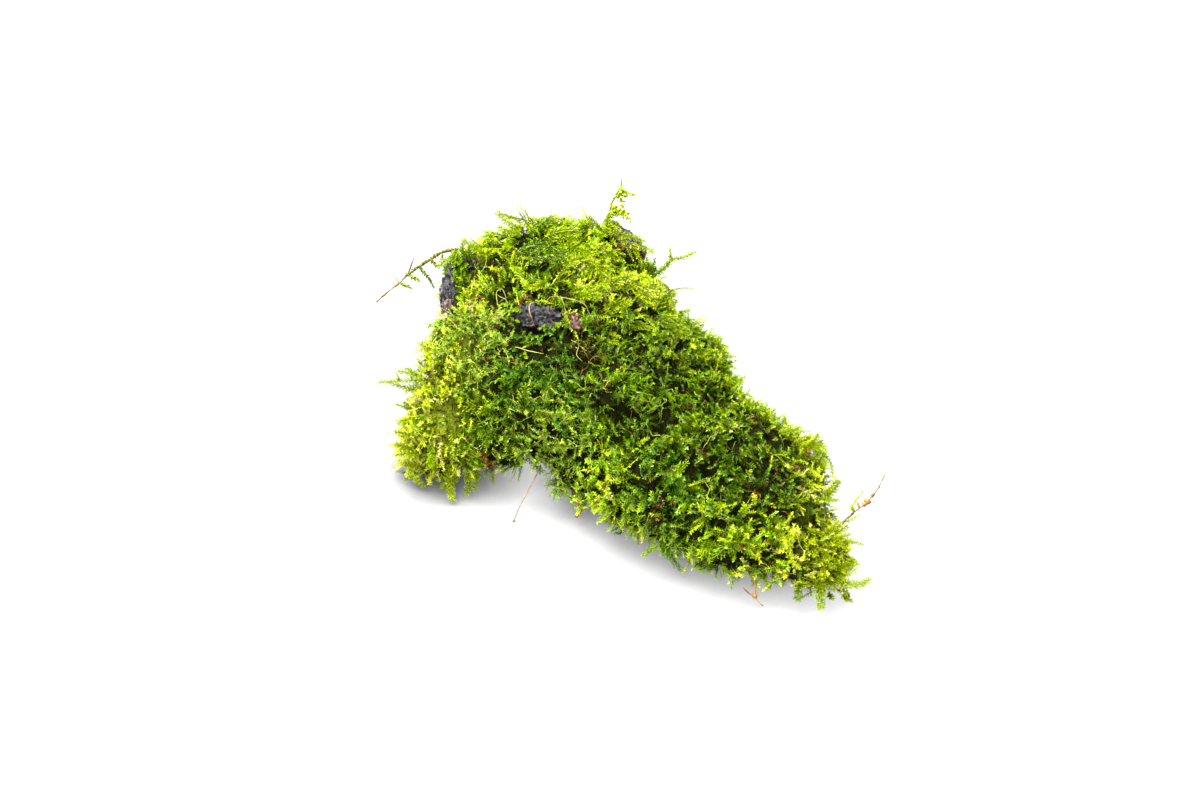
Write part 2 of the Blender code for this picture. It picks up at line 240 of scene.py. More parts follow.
def smoothPath(points, each=4):
    # A smooth line through all the points.
    points = [Vector(point) for point in points]
    ends = [points[0] * 2 - points[1]] + points + [points[-1] * 2 - points[-2]]
    path = []
    for a, b, c, d in zip(ends, ends[1:], ends[2:], ends[3:]):
        for step in range(each):
            t = step / each
            square = 2 * a - 5 * b + 4 * c - d
            cube = 3 * b - a - 3 * c + d
            path.append((2 * b + (c - a) * t + square * t * t + cube * t ** 3) / 2)
    path.append(points[-1])
    return path


def addTube(bm, path, radii, sides, knobs=0.0):
    # A closed tube along the path; gives back its rings with their share of the length.
    frames = framesAlong(path)
    last = len(frames) - 1
    ring = bmesh.ops.create_circle(bm, cap_ends=True, segments=sides, radius=1)["verts"]
    edges = list({edge for vert in ring for edge in vert.link_edges})
    rings = []
    for number, (point, across, over, along) in enumerate(frames):
        share = number / last
        if number:
            grown = bmesh.ops.extrude_edge_only(bm, edges=edges)["geom"]
            ring = [item for item in grown if isinstance(item, bmesh.types.BMVert)]
            edges = [item for item in grown if isinstance(item, bmesh.types.BMEdge)
                     and all(vert in ring for vert in item.verts)]
        reach = radii[0] + (radii[1] - radii[0]) * share
        reach *= 1 + knobs * noise.noise(point * 0.9)
        for count, vert in enumerate(ring):
            turn = count * math.tau / sides
            vert.co = point + (across * math.cos(turn) + over * math.sin(turn)) * reach
        rings.append((ring, share))
    bmesh.ops.contextual_create(bm, geom=ring)
    return rings


def addStem(bm, layers, path, radius, agesAndShade, tones):
    for ring, share in addTube(bm, path, (radius, radius * 0.4), 3):
        for count, vert in enumerate(ring):
            vert[layers[0]] = tones[0] + (tones[1] - tones[0]) * share - 0.03 + 0.012 * count
            vert[layers[1]] = agesAndShade[0] + (agesAndShade[1] - agesAndShade[0]) * share


def addLeaf(bm, layers, seat, length, width, fold, curl, ageAndShade, shift):
    # A pointed leaf folded along its midrib, drawn from a ring of four corners.
    ring = bmesh.ops.create_circle(bm, cap_ends=True, segments=4, radius=1)["verts"]
    base, tip = min(ring, key=lambda v: v.co.y), max(ring, key=lambda v: v.co.y)
    left, right = min(ring, key=lambda v: v.co.x), max(ring, key=lambda v: v.co.x)
    base.co = (0, 0, 0)
    tip.co = (0, length, curl * length)
    left.co = (-width / 2, length * 0.48, fold * width)
    right.co = (width / 2, length * 0.48, fold * width)
    bmesh.ops.connect_verts(bm, verts=[base, tip])
    bmesh.ops.transform(bm, matrix=seat, verts=ring)
    # The foot of each leaf is painted darker as shade, and its tip lighter for the painted highlight.
    for vert, aside, grown in ((base, 0, -0.3), (left, -0.008, 0.0), (right, 0.008, 0.0), (tip, 0, 0.2)):
        vert[layers[0]] = shift + aside
        vert[layers[1]] = ageAndShade + grown


def addLeafyAxis(bm, layers, path, leaf, agesAndShade, tones=(0, 0), leafy=1.0):
    # leaf: length, width, pitch, tilt, fold, curl, flat, taper, stem radius and the bare share of the foot.
    # close says how far the leaves close up towards the tip, and spread and wild how much they vary in tilt
    # and turn. leafy is the share of the stem, from its foot, where the leaves end.
    frames = framesAlong(path)
    steps = [(b - a).length for a, b in zip(path, path[1:])]
    total = sum(steps)
    addStem(bm, layers, path[:-1:leaf["stemSteps"]] + [path[-1]], leaf["stem"], agesAndShade, tones)
    bare = leaf.get("bare", 0)
    count = max(3, round(total * (leafy - bare) / leaf["pitch"]))
    turn = random.uniform(0, math.tau)
    for number in range(count):
        share = bare + (number + 0.5) / count * (leafy - bare)
        spot = share * total
        index = 0
        while index < len(steps) - 1 and spot > steps[index]:
            spot -= steps[index]
            index += 1
        point, across, over, along = frames[index]
        place = point.lerp(path[index + 1], min(1, spot / steps[index]))
        turn += goldenTurn + random.uniform(-0.3, 0.3)
        row = number % 3 if leaf.get("rows") == 3 else 0
        if leaf.get("rows") == 3:
            # Two rows spread sideways and one lies along the upper side.
            turn = (0, math.pi, math.pi / 2)[row] + random.uniform(-1, 1) * leaf["wild"]
        tilt = leaf["tilt"] * (1 - leaf.get("close", 0.4) * share ** 3)
        tilt = math.radians(tilt + random.uniform(-1, 1) * leaf.get("spread", 12))
        tilt *= 0.6 if row == 2 else 1
        outward = across * math.cos(turn) + over * math.sin(turn) * (1 - leaf["flat"])
        outward.normalize()
        ahead = (along * math.cos(tilt) + outward * math.sin(tilt)).normalized()
        face = (outward * math.cos(tilt) - along * math.sin(tilt)).normalized()
        aside = ahead.cross(face)
        seat = Matrix((aside, ahead, -face)).transposed().to_4x4()
        seat.translation = place
        size = (1 - leaf["taper"] * max(0, share - 0.35) / 0.65) * random.uniform(0.85, 1.15)
        ageAndShade = agesAndShade[0] + (agesAndShade[1] - agesAndShade[0]) * share + random.uniform(-0.2, 0.06)
        tone = tones[0] + (tones[1] - tones[0]) * share + random.uniform(-0.05, 0.05)
        addLeaf(bm, layers, seat, leaf["length"] * size, leaf["width"] * size,
                leaf["fold"], leaf["curl"], ageAndShade, tone)


def curvedPath(start, way, length, sag, steps, wobble=0.0):
    # A path that leaves start along way and turns towards sag.
    path = [Vector(start)]
    way = Vector(way).normalized()
    for _ in range(steps):
        stray = Vector([random.uniform(-wobble, wobble) for _ in range(3)])
        way = (way + Vector(sag) / steps + stray).normalized()
        path.append(path[-1] + way * length / steps)
    return path


def asArrays(bm, layers):
    bmesh.ops.triangulate(bm, faces=bm.faces)
    bm.verts.index_update()
    shape = {
        "points": np.array([vert.co for vert in bm.verts]),
        "palette": np.array([(vert[layers[0]], vert[layers[1]]) for vert in bm.verts]),
        "corners": np.array([[vert.index for vert in face.verts] for face in bm.faces]),
    }
    shape["tip"] = shape["points"][shape["points"][:, 2].argmax()]
    shape["length"] = float(shape["tip"][2])
    bm.free()
    return shape


# The ways that the moss grows, each with a few shoots that are planted many times.
# mainStems gives the least and most length of each, its steps and its wobble.

mainStems = {"plain": ((6.2, 8.8), 6, 0.2), "tuft": ((5.4, 6.6), 4, 0.12), "frond": ((11, 15), 8, 0.08),
             "strand": ((8, 12), 6, 0.35)}

plumeLeaf = {"length": 1.3, "width": 0.5, "pitch": 0.2, "tilt": 60, "fold": 0.26, "curl": -0.2,
             "flat": 0.1, "taper": 0.25, "stem": 0.16, "stemSteps": 3, "rows": 3, "bare": 0.28,
             "close": 0.35, "spread": 16, "wild": 0.75}
plainLeaf = {"length": 1.2, "width": 0.47, "pitch": 0.2, "tilt": 58, "fold": 0.26, "curl": -0.16,
             "flat": 0.1, "taper": 0.2, "stem": 0.16, "stemSteps": 3, "bare": 0.28,
             "close": 0.35, "spread": 16}
tuftLeaf = {"length": 1.05, "width": 0.48, "pitch": 0.28, "tilt": 56, "fold": 0.24, "curl": -0.12,
            "flat": 0.1, "taper": 0.25, "stem": 0.12, "stemSteps": 3}
frondLeaf = {"length": 0.95, "width": 0.44, "pitch": 0.36, "tilt": 48, "fold": 0.2, "curl": -0.05,
             "flat": 0.35, "taper": 0.3, "stem": 0.12, "stemSteps": 3}
strandLeaf = {"length": 0.9, "width": 0.38, "pitch": 0.6, "tilt": 42, "fold": 0.2, "curl": -0.12,
              "flat": 0.0, "taper": 0.3, "stem": 0.13, "stemSteps": 2}


def mainStem(habit):
    lengths, steps, wobble = mainStems[habit]
    return curvedPath((0, 0, 0), (0, 0, 1), random.uniform(*lengths), (0, 0, 0), steps, wobble)


def pointAt(path, share):
    index = min(int(share * (len(path) - 1)), len(path) - 2)
    return path[index].lerp(path[index + 1], share * (len(path) - 1) - index)


def plainShoot(leaf):
    # An unbranched leafy shoot, either flat like a feather or leafy all round.
    bm, layers = newShoot()
    path = mainStem("plain")
    addLeafyAxis(bm, layers, path, leaf, (0.1, 0.9))
    return asArrays(bm, layers)


def tuftShoot():
    # A short shoot whose top divides into a few leafy branchlets.
    bm, layers = newShoot()
    path = mainStem("tuft")
    addLeafyAxis(bm, layers, path, dict(tuftLeaf, pitch=0.5, stem=0.16, stemSteps=2), (0.1, 0.84))
    turn = random.uniform(0, math.tau)
    for share in (0.35, 0.5, 0.65, 0.8):
        turn += goldenTurn + random.uniform(-0.4, 0.4)
        way = (math.cos(turn), math.sin(turn), random.uniform(0.6, 1.1))
        twig = curvedPath(pointAt(path, share), way, random.uniform(2.2, 3.4), (0, 0, 0.5), 3, 0.1)
        addLeafyAxis(bm, layers, twig, tuftLeaf, (0.2 + 0.45 * share, 0.88))
    return asArrays(bm, layers)


def frondShoot():
    # A feather: branchlets on both sides of a long stem, shorter towards its tip.
    bm, layers = newShoot()
    path = mainStem("frond")
    addLeafyAxis(bm, layers, path, dict(frondLeaf, stem=0.18, pitch=0.6), (0.1, 0.9))
    branches = 14
    for number in range(branches):
        share = 0.14 + 0.8 * number / branches
        side = 1 if number % 2 else -1
        reach = (4.2 * (1 - share) ** 0.7 + 0.9) * random.uniform(0.75, 1.15)
        way = (side, random.uniform(-0.25, 0.3), 0.85)
        twig = curvedPath(pointAt(path, share), way, reach, (-side * 0.2, 0.05, 0.4), 3, 0.08)
        addLeafyAxis(bm, layers, twig, frondLeaf, (0.2 + 0.3 * share, 0.92))
    return asArrays(bm, layers)


def strandShoot():
    # A thin trailing stem with small leaves and a side stem.
    bm, layers = newShoot()
    path = mainStem("strand")
    addLeafyAxis(bm, layers, path, strandLeaf, (0.3, 0.88))
    for share in (0.35, 0.6):
        index = int(share * 6)
        way = (random.choice((-1, 1)), random.uniform(-1, 1), 0.7)
        twig = curvedPath(path[index], way, random.uniform(1.6, 3.4), (0, 0, 0.4), 2, 0.2)
        addLeafyAxis(bm, layers, twig, strandLeaf, (0.4, 0.88))
    return asArrays(bm, layers)


habits = {
    "shoot": {"shapes": [plainShoot(leaf) for leaf in (plumeLeaf, plainLeaf, plumeLeaf) * 5],
              "count": 7100},
    "tuft": {"shapes": [tuftShoot() for _ in range(8)], "count": 400},
    "frond": {"shapes": [frondShoot() for _ in range(6)], "count": 310},
    "strand": {"shapes": [strandShoot() for _ in range(8)], "count": 1250},
}
for habit, growth in habits.items():
    faces = [len(shape["corners"]) for shape in growth["shapes"]]
    print(habit, "shoots have", min(faces), "to", max(faces), "triangles")
allShapes = [shape for growth in habits.values() for shape in growth["shapes"]]
shapeCounts = np.array([len(growth["shapes"]) for growth in habits.values()])


# Where each way of growing shows: a centre and a reach on the mat, the tone on the palette and its scatter,
# the lean that the shoots take on, and the shares of plain shoots, tufts, fronds and strands.
# pull is how strongly a patch holds its own against its neighbours, outside how far a tip may stand out of
# the imported mat, gaps the width of the dark gaps between groups, dead the share of brown and straw-coloured
# shoots, and light how bright the shoots are painted: partly their own tone, and partly painted light and
# shade for how the lamps fall on each patch.

usualPatch = {"pull": 1.0, "outside": 1.6, "gaps": 0.25, "dead": 0.02, "light": 1.0}
patches = {
    "top left": {"at": (-31, 51, 43), "reach": 14, "tone": 0.78, "scatter": 0.05,
                 "light": 1.06, "gaps": 0.18,
                 "lean": (-0.3, -0.1, 0.4), "shares": (0.6, 0.12, 0.22, 0.06)},
    "curly": {"at": (-27, 41, 42), "reach": 7, "tone": 0.6, "scatter": 0.06,
              "light": 0.88, "gaps": 0.22, "pull": 2,
              "lean": (0.6, 0, 0.1), "shares": (0.3, 0.05, 0.15, 0.5)},
    "top": {"at": (-12, 47, 44), "reach": 13, "tone": 0.76, "scatter": 0.07,
            "light": 1.1, "outside": 1.2, "gaps": 0.2,
            "lean": (0.3, 0, 0.2), "shares": (0.6, 0.12, 0.18, 0.1)},
    "combed": {"at": (-5, 25, 45), "reach": 11, "tone": 0.8, "scatter": 0.05,
               "light": 1.08, "gaps": 0.18,
               "lean": (1.1, 0.1, 0.1), "shares": (0.4, 0.05, 0.5, 0.05)},
    "left shoulder": {"at": (-46, 36, 36), "reach": 10, "tone": 0.8, "scatter": 0.08,
                      "light": 1.38, "outside": 1.1, "gaps": 0.16, "dead": 0.15,
                      "lean": (-0.3, -0.1, 0.3), "shares": (0.6, 0.1, 0.1, 0.2)},
    "brown band": {"at": (-1, 50, 40), "reach": 4, "tone": 0.22, "scatter": 0.06,
                   "dead": 0.4, "pull": 2.5,
                   "lean": (0.4, -0.2, 0), "shares": (0.5, 0, 0, 0.5)},
    "bark green": {"at": (-45.5, 41, 41), "reach": 6, "tone": 0.4, "scatter": 0.05,
                   "light": 0.62, "pull": 1.5,
                   "lean": (-0.2, -0.4, 0), "shares": (0.8, 0.05, 0.05, 0.1)},
    # A hollow painted dark: brown dead shoots, and painted shade from its low light.
    "dark pocket": {"at": (-14, 4, 40), "reach": 3.4, "tone": 0.2, "scatter": 0.06,
                    "light": 0.5, "gaps": 0.5, "dead": 0.35, "pull": 5,
                    "lean": (0, -0.4, 0), "shares": (0.4, 0, 0, 0.6)},
    "grey left": {"at": (-44, 12, 36), "reach": 9, "tone": 0.5, "scatter": 0.04,
                  "light": 1.7, "gaps": 0.12, "dead": 0.12,
                  "lean": (0, -0.3, 0.2), "shares": (0.5, 0.08, 0, 0.42)},
    "left rim": {"at": (-58, 12, 24), "reach": 10, "tone": 0.88, "scatter": 0.04,
                 "light": 1.1, "outside": 1.1, "gaps": 0.12,
                 "lean": (-0.6, -0.3, 0.1), "shares": (0.7, 0.08, 0.17, 0.05)},
    "left foot": {"at": (-60, -6, 12), "reach": 11, "tone": 0.9, "scatter": 0.05,
                  "light": 1.45, "outside": 1.0, "gaps": 0.12,
                  "lean": (-0.5, -0.5, -0.2), "shares": (0.82, 0.06, 0.12, 0)},
    "front left": {"at": (-45, -8, 20), "reach": 11, "tone": 0.66, "scatter": 0.08,
                   "light": 0.87, "outside": 1.2, "gaps": 0.2,
                   "lean": (-0.2, -0.5, 0), "shares": (0.75, 0.05, 0.1, 0.1)},
    "deep front": {"at": (-27, 2, 38), "reach": 10, "tone": 0.4, "scatter": 0.05, "gaps": 0.28,
                   "lean": (0, -0.6, 0.2), "shares": (0.88, 0.05, 0.02, 0.05)},
    "grey front": {"at": (-24, -14, 22), "reach": 9, "tone": 0.5, "scatter": 0.05,
                   "light": 1.75, "gaps": 0.16, "dead": 0.08,
                   "lean": (0.2, -0.4, 0.1), "shares": (0.5, 0.08, 0, 0.42)},
    "olive": {"at": (2, 8, 41), "reach": 12, "tone": 0.54, "scatter": 0.05,
              "light": 0.86, "gaps": 0.32, "dead": 0.06,
              "lean": (0.4, -0.3, 0.2), "shares": (0.4, 0.04, 0.04, 0.52)},
    "olive low": {"at": (-3, -10, 38), "reach": 9, "tone": 0.57, "scatter": 0.07,
                  "light": 0.9, "gaps": 0.32,
                  "lean": (0.1, -0.4, 0.2), "shares": (0.6, 0.05, 0, 0.35)},
    "middle": {"at": (17, -14, 33), "reach": 13, "tone": 0.64, "scatter": 0.08,
               "light": 0.77, "gaps": 0.34,
               "lean": (0.1, -0.3, 0.5), "shares": (0.88, 0.07, 0, 0.05)},
    "right slope": {"at": (22, 6, 33), "reach": 12, "tone": 0.74, "scatter": 0.07,
                    "light": 0.81, "outside": 0.8, "gaps": 0.24, "dead": 0.05,
                    "lean": (0.3, 0, 0.4), "shares": (0.82, 0.08, 0.05, 0.05)},
    "right edge": {"at": (36, 2, 22), "reach": 11, "tone": 0.8, "scatter": 0.06,
                   "outside": 0.8, "gaps": 0.2,
                   "lean": (0.4, 0, 0.3), "shares": (0.82, 0.06, 0.07, 0.05)},
    "deep low": {"at": (8, -36, 18), "reach": 11, "tone": 0.42, "scatter": 0.07,
                 "light": 1.12, "outside": 2.7, "gaps": 0.3,
                 "lean": (-0.1, -0.5, 0.2), "shares": (0.92, 0.04, 0.04, 0)},
    "dark right": {"at": (34, -30, 26), "reach": 10, "tone": 0.48, "scatter": 0.1,
                   "light": 0.84, "gaps": 0.4,
                   "lean": (0.1, -0.3, 0.4), "shares": (0.78, 0.07, 0, 0.15)},
    "right rim": {"at": (50, -22, 22), "reach": 10, "tone": 0.88, "scatter": 0.05,
                  "light": 1.08, "outside": 1.0, "gaps": 0.15,
                  "lean": (0.4, -0.1, 0.3), "shares": (0.72, 0.08, 0.15, 0.05)},
    "right end": {"at": (50, -47, 12), "reach": 11, "tone": 0.9, "scatter": 0.06,
                  "light": 1.45, "outside": 0.8, "gaps": 0.08,
                  "lean": (0.3, -0.5, 0), "shares": (0.8, 0.08, 0.08, 0.04)},
    "front edge": {"at": (24, -48, 10), "reach": 12, "tone": 0.72, "scatter": 0.07,
                   "light": 1.1, "outside": 3.1, "gaps": 0.2,
                   "lean": (-0.1, -0.5, 0), "shares": (0.82, 0.06, 0.08, 0.04)},
    "low left edge": {"at": (-4, -30, 10), "reach": 10, "tone": 0.73, "scatter": 0.08,
                      "light": 1.35, "outside": 2.5, "gaps": 0.2,
                      "lean": (-0.3, -0.5, 0), "shares": (0.7, 0.05, 0.07, 0.18)},
    "back": {"at": (10, 58, 20), "reach": 30, "tone": 0.7, "scatter": 0.1, "outside": 1.1,
             "lean": (0, 0.3, 0.1), "shares": (0.8, 0.08, 0.07, 0.05)},
    "back right": {"at": (45, 15, 12), "reach": 24, "tone": 0.75, "scatter": 0.08, "outside": 1.0,
                   "lean": (0.3, 0.2, 0.1), "shares": (0.8, 0.08, 0.07, 0.05)},
}
for patch in patches.values():
    patch["at"] = Vector(patch["at"]) * mm
    for key, value in usualPatch.items():
        patch.setdefault(key, value)


# The dark thatch of old stems that the shoots grow from, near-black partly as painted shade in the gaps

thatch = {
    "voxel": 1.2,
    "smoothing": 0.6,
    "rounds": 14,
    "depth": 2.6,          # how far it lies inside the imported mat,
    "thin": 0.36,          # and the most of the thickness there
    "keep": 0.5,
    "bump": 2.2,
    "bumpSize": 4.5,
    "smallest": 400,       # points of the smallest lump that stays
    "fibreSize": 900,
    "fibreTwist": 2.5,
    "endStretch": 7,       # where along X the olive of the thin ends starts
    "endShift": 0.55,
}


def sinkInwards(mesh):
    # Moves the surface inwards, less where the part is thin.
    points = [vert.co for vert in mesh.vertices]
    tree = BVHTree.FromPolygons(points, [face.vertices for face in mesh.polygons])
    depths = []
    for vert in mesh.vertices:
        hit = tree.ray_cast(vert.co - vert.normal * 0.05 * mm, -vert.normal)
        depths.append(min(thatch["depth"] * mm, thatch["thin"] * (hit[3] or 0)))
    bm = bmesh.new()
    bm.from_mesh(mesh)
    for vert in bm.verts:
        near = [depths[edge.other_vert(vert).index] for edge in vert.link_edges]
        vert.co -= vert.normal * (depths[vert.index] + sum(near)) / (len(near) + 1)
    bm.to_mesh(mesh)
    bm.free()


def dropIslands(mesh):
    # Leaves out the small loose lumps that come from the thin ends of the mat.
    bm = bmesh.new()
    bm.from_mesh(mesh)
    left = set(bm.verts)
    while left:
        island, edge = set(), [left.pop()]
        while edge:
            vert = edge.pop()
            island.add(vert)
            near = [link.other_vert(vert) for link in vert.link_edges]
            edge += [other for other in near if other in left]
            left.difference_update(near)
        if len(island) < thatch["smallest"]:
            bmesh.ops.delete(bm, geom=list(island), context="VERTS")
    bm.to_mesh(mesh)
    bm.free()


def makeThatch():
    bm = mergedCopy("moss_mat")
    mesh = bpy.data.meshes.new("thatch")
    bm.to_mesh(mesh)
    bm.free()
    obj = bpy.data.objects.new("thatch", mesh)
    bpy.context.scene.collection.objects.link(obj)
    whole = obj.modifiers.new("whole", "REMESH")
    whole.mode = "VOXEL"
    whole.voxel_size = thatch["voxel"] * mm
    even = obj.modifiers.new("even", "SMOOTH")
    even.factor = thatch["smoothing"]
    even.iterations = thatch["rounds"]
    sunk = evaluatedMesh(obj)
    dropIslands(sunk)
    sinkInwards(sunk)
    obj = bpy.data.objects.new("thatch", sunk)
    bpy.context.scene.collection.objects.link(obj)
    lumps = bpy.data.textures.new("lumps", "CLOUDS")
    lumps.noise_scale = thatch["bumpSize"] * mm
    rough = obj.modifiers.new("rough", "DISPLACE")
    rough.texture = lumps
    rough.strength = thatch["bump"] * mm
    thin = obj.modifiers.new("thin", "DECIMATE")
    thin.ratio = thatch["keep"]
    return evaluatedMesh(obj)


thatchMesh = makeThatch()
print("thatch has", len(thatchMesh.polygons), "faces")


def readFaces(mesh):
    mesh.calc_loop_triangles()
    count = len(mesh.loop_triangles)
    corners = np.empty(count * 3, np.int32)
    mesh.loop_triangles.foreach_get("vertices", corners)
    places = np.empty(len(mesh.vertices) * 3, np.float32)
    mesh.vertices.foreach_get("co", places)
    return places.reshape(-1, 3).astype(float), corners.reshape(-1, 3)


def scatter(count):
    # Random roots on the thatch, evenly by area but fewer underneath, with the normal of the face.
    places, corners = readFaces(thatchMesh)
    a, b, c = (places[corners[:, n]] for n in range(3))
    cross = np.cross(b - a, c - a)
    area = np.linalg.norm(cross, axis=1)
    wanted = area * np.where(cross[:, 2] < -0.4 * area, growing["underside"], 1)
    face = chance.choice(len(corners), count, p=wanted / wanted.sum())
    u, v = chance.random(count), chance.random(count)
    over = u + v > 1
    u[over], v[over] = 1 - u[over], 1 - v[over]
    roots = a[face] + u[:, None] * (b - a)[face] + v[:, None] * (c - a)[face]
    return roots, cross[face] / area[face, None]


def treeOf(*names):
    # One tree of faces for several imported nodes.
    points, faces = [], []
    for name in names:
        mesh = nodes[name].data
        start = len(points)
        points += [vert.co.copy() for vert in mesh.vertices]
        faces += [[start + index for index in face.vertices] for face in mesh.polygons]
    return BVHTree.FromPolygons(points, faces)


barkTree = treeOf("bark_centre", "bark_right", "bark_chip", "dead_leaf")
leftTree = treeOf("bark_left")
matTree = treeOf("moss_mat")
outlook = {
    "toCamera": (0, -0.766, 0.643),
    "cover": 7,            # how far in front of a flake a shoot still hides it
    "near": 1.0,
    "leftBare": -50.3,     # the left flake is kept bare on the left of this X,
    "leftTop": 47.2,       # and behind this Y
}


def coversBark(points):
    # True where a shoot would lie on the bark, or in front of it as the viewer looks.
    back = -Vector(outlook["toCamera"])
    for point in points:
        place = Vector(point)
        if barkTree.find_nearest(place, outlook["near"] * mm)[0] is not None:
            return True
        if barkTree.ray_cast(place, back, outlook["cover"] * mm)[0] is not None:
            return True
        hit = leftTree.ray_cast(place, back, outlook["cover"] * mm)[0]
        if hit is not None and (hit.x < outlook["leftBare"] * mm or hit.y > outlook["leftTop"] * mm):
            return True
    return False


def outsideOf(point):
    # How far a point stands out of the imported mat; inside it the number is negative.
    point = Vector(point)
    up = Vector((0.1, 0.05, 1))
    hit, normal = matTree.ray_cast(point, up)[:2]
    inside = hit is not None and normal.dot(up) > 0
    gap = (point - matTree.find_nearest(point)[0]).length
    return -gap if inside else gap


def unit(rows):
    return rows / np.maximum(np.linalg.norm(rows, axis=-1, keepdims=True), 1e-12)


growing = {
    "candidates": 24000,
    "underside": 0.4,
    "floor": 0.35,
    "softness": 0.6,
    "cluster": 6.0,        # width of a group of shoots that lean one way
    "clusterLean": 0.7,
    "clusterTone": 0.1,
    "gapSize": 0.45,       # size of the shoots in the gaps between groups
    "bare": 0.1,           # and how much of the gaps has no shoots
    "paintedDepthShade": 0.5,          # painted shade: how much darker the shoots deep in the mat are painted
    "paintedDepthShadeReach": 2.2,
    "deadTones": (0.02, 0.1, 0.14, 0.2, 0.25, 0.98),
    "overgrown": 0.12,     # share of the shoots beside the bark that lie over it
    "falloff": 0.9,        # how sharply one patch gives way to the next
    "belowLevel": 12,      # height under which the shoots that face down are old,
    "belowDead": 0.6,      # the share of them that is brown,
    "belowShort": 0.45,    # and how much shorter they are
    "floorLevel": 6,       # height under which no shoot points down by more than
    "floorDip": -0.15,
    "sizes": (0.78, 1.1),
    "stray": 0.38,
    "bend": 0.42,
    "stump": 0.45,         # a shoot that has to be cut shorter than this share is left out
    "gapTone": 0.06,
}
# For plain shoots, tufts, fronds and strands
posture = {
    "rise": (0.85, 1.0, 0.35, 0.35),     # how far they stand out of the surface
    "lean": (0.7, 0.5, 1.0, 0.8),        # how far they follow the lean
    "wild": (1.0, 0.8, 0.5, 1.8),        # how far they stray from it
    "droop": (0.35, 0.25, 0.6, 0.5),
}


def clustersAt(roots):
    # Neighbouring shoots share a lean and a tone, and stay short along the crevices between such groups.
    leans, depths, shades = [], [], []
    for root in roots:
        near, cells = noise.voronoi(Vector(root) / (growing["cluster"] * mm))
        leans.append(noise.noise_vector(cells[0] * 3.7))
        depths.append(near[1] - near[0])
        shades.append(noise.noise(cells[0] * 5.3))
    return unit(np.array(leans)), np.array(depths), np.array(shades)


def patchValues(key):
    return np.array([patch[key] for patch in patches.values()])


def choosePlaces():
    # Every root takes its values from one of the patches near it.
    roots, normals = scatter(growing["candidates"])
    gap = np.linalg.norm(roots[:, None] - patchValues("at")[None], axis=2) / (patchValues("reach") * mm)
    weight = np.exp(-gap ** 2 * growing["falloff"]) * patchValues("pull") + 1e-9
    weight /= weight.sum(axis=1, keepdims=True)
    pick = (weight.cumsum(axis=1) > chance.random((len(roots), 1))).argmax(axis=1)
    shares = patchValues("shares")[pick]
    kind = (shares.cumsum(axis=1) > chance.random((len(roots), 1))).argmax(axis=1)
    tone = patchValues("tone")[pick] + patchValues("scatter")[pick] * chance.normal(size=len(roots))
    below = np.clip(-normals[:, 2] * 1.4 - 0.1, 0, 1) * (roots[:, 2] < growing["belowLevel"] * mm)
    dead = chance.random(len(roots)) < patchValues("dead")[pick] + growing["belowDead"] * below
    tone[dead] = chance.choice(growing["deadTones"], dead.sum())
    limit = patchValues("outside")[pick] * mm
    limit[dead] = 0
    return roots, normals, pick, kind, tone, below, limit


def tipsOf(plants):
    # Where every tip stands, once its shoot is bent and set in place as grownArrays does.
    x, y, z = np.array([shape["tip"] for shape in allShapes])[plants["shape"]].T
    bend = np.where(np.abs(plants["bend"]) < 1e-4, 1e-4, plants["bend"])
    rise = z * (1 - np.cos(bend)) / bend + y * np.cos(bend)
    reach = z * np.sin(bend) / bend - y * np.sin(bend)
    places = [plants[key] * part[:, None] for key, part in (("side", x), ("over", rise), ("along", reach))]
    return plants["root"] + sum(places) * plants["size"][:, None]


def fitShoots(plants):
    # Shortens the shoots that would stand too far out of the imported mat, and leaves out those on the bark.
    for number, tip in enumerate(tipsOf(plants)):
        root, limit = plants["root"][number], plants["limit"][number]
        outside = outsideOf(tip)
        if outside > limit:
            depth = max(-outsideOf(root), 0)
            share = (depth + limit) / (depth + outside)
            plants["size"][number] *= share
            tip = root + (tip - root) * share
            plants["keep"][number] = share > growing["stump"]
        else:
            # A tip deep inside the mat gets painted shade.
            plants["paintedDepthShade"][number] = min(1, max(0, -outside) / (growing["paintedDepthShadeReach"] * mm))
        if plants["keep"][number] and chance.random() > growing["overgrown"]:
            plants["keep"][number] = not coversBark(((root + tip) / 2, tip))


def growShoots():
    roots, normals, pick, kind, tone, below, limit = choosePlaces()
    shared, depth, shade = clustersAt(roots)
    gaps = patchValues("gaps")[pick]
    rise, follow, wild = [np.choose(kind, posture[key])[:, None] for key in ("rise", "lean", "wild")]
    lean = patchValues("lean")[pick] * follow + shared * growing["clusterLean"]
    tangent = lean - normals * (lean * normals).sum(axis=1, keepdims=True)
    along = unit(normals * rise + tangent + chance.normal(size=roots.shape) * growing["stray"] * wild)
    level = np.maximum(along[:, 2], growing["floorDip"])
    along[:, 2] = np.where(roots[:, 2] < growing["floorLevel"] * mm, level, along[:, 2])
    along = unit(along)
    side = unit(np.cross(normals + 0.1 * chance.normal(size=roots.shape), along))
    opened = np.clip(depth / gaps, 0, 1)
    size = chance.uniform(*growing["sizes"], len(roots)) * (1 - growing["belowShort"] * below)
    size *= growing["gapSize"] + (1 - growing["gapSize"]) * opened
    shape = (np.cumsum(shapeCounts) - shapeCounts)[kind] + chance.integers(0, shapeCounts[kind])
    bend = chance.normal(0.0, growing["bend"], len(roots)) - np.choose(kind, posture["droop"])
    plants = {
        "root": roots, "along": along, "side": side, "over": np.cross(along, side),
        "size": size * mm, "bend": bend, "kind": kind, "shape": shape, "limit": limit,
        "tone": tone + growing["clusterTone"] * shade - growing["gapTone"] * (1 - opened),
        "light": patchValues("light")[pick],
        "keep": depth > growing["bare"] * gaps,
        "paintedDepthShade": np.zeros(len(roots)),
    }
    fitShoots(plants)
    return plants


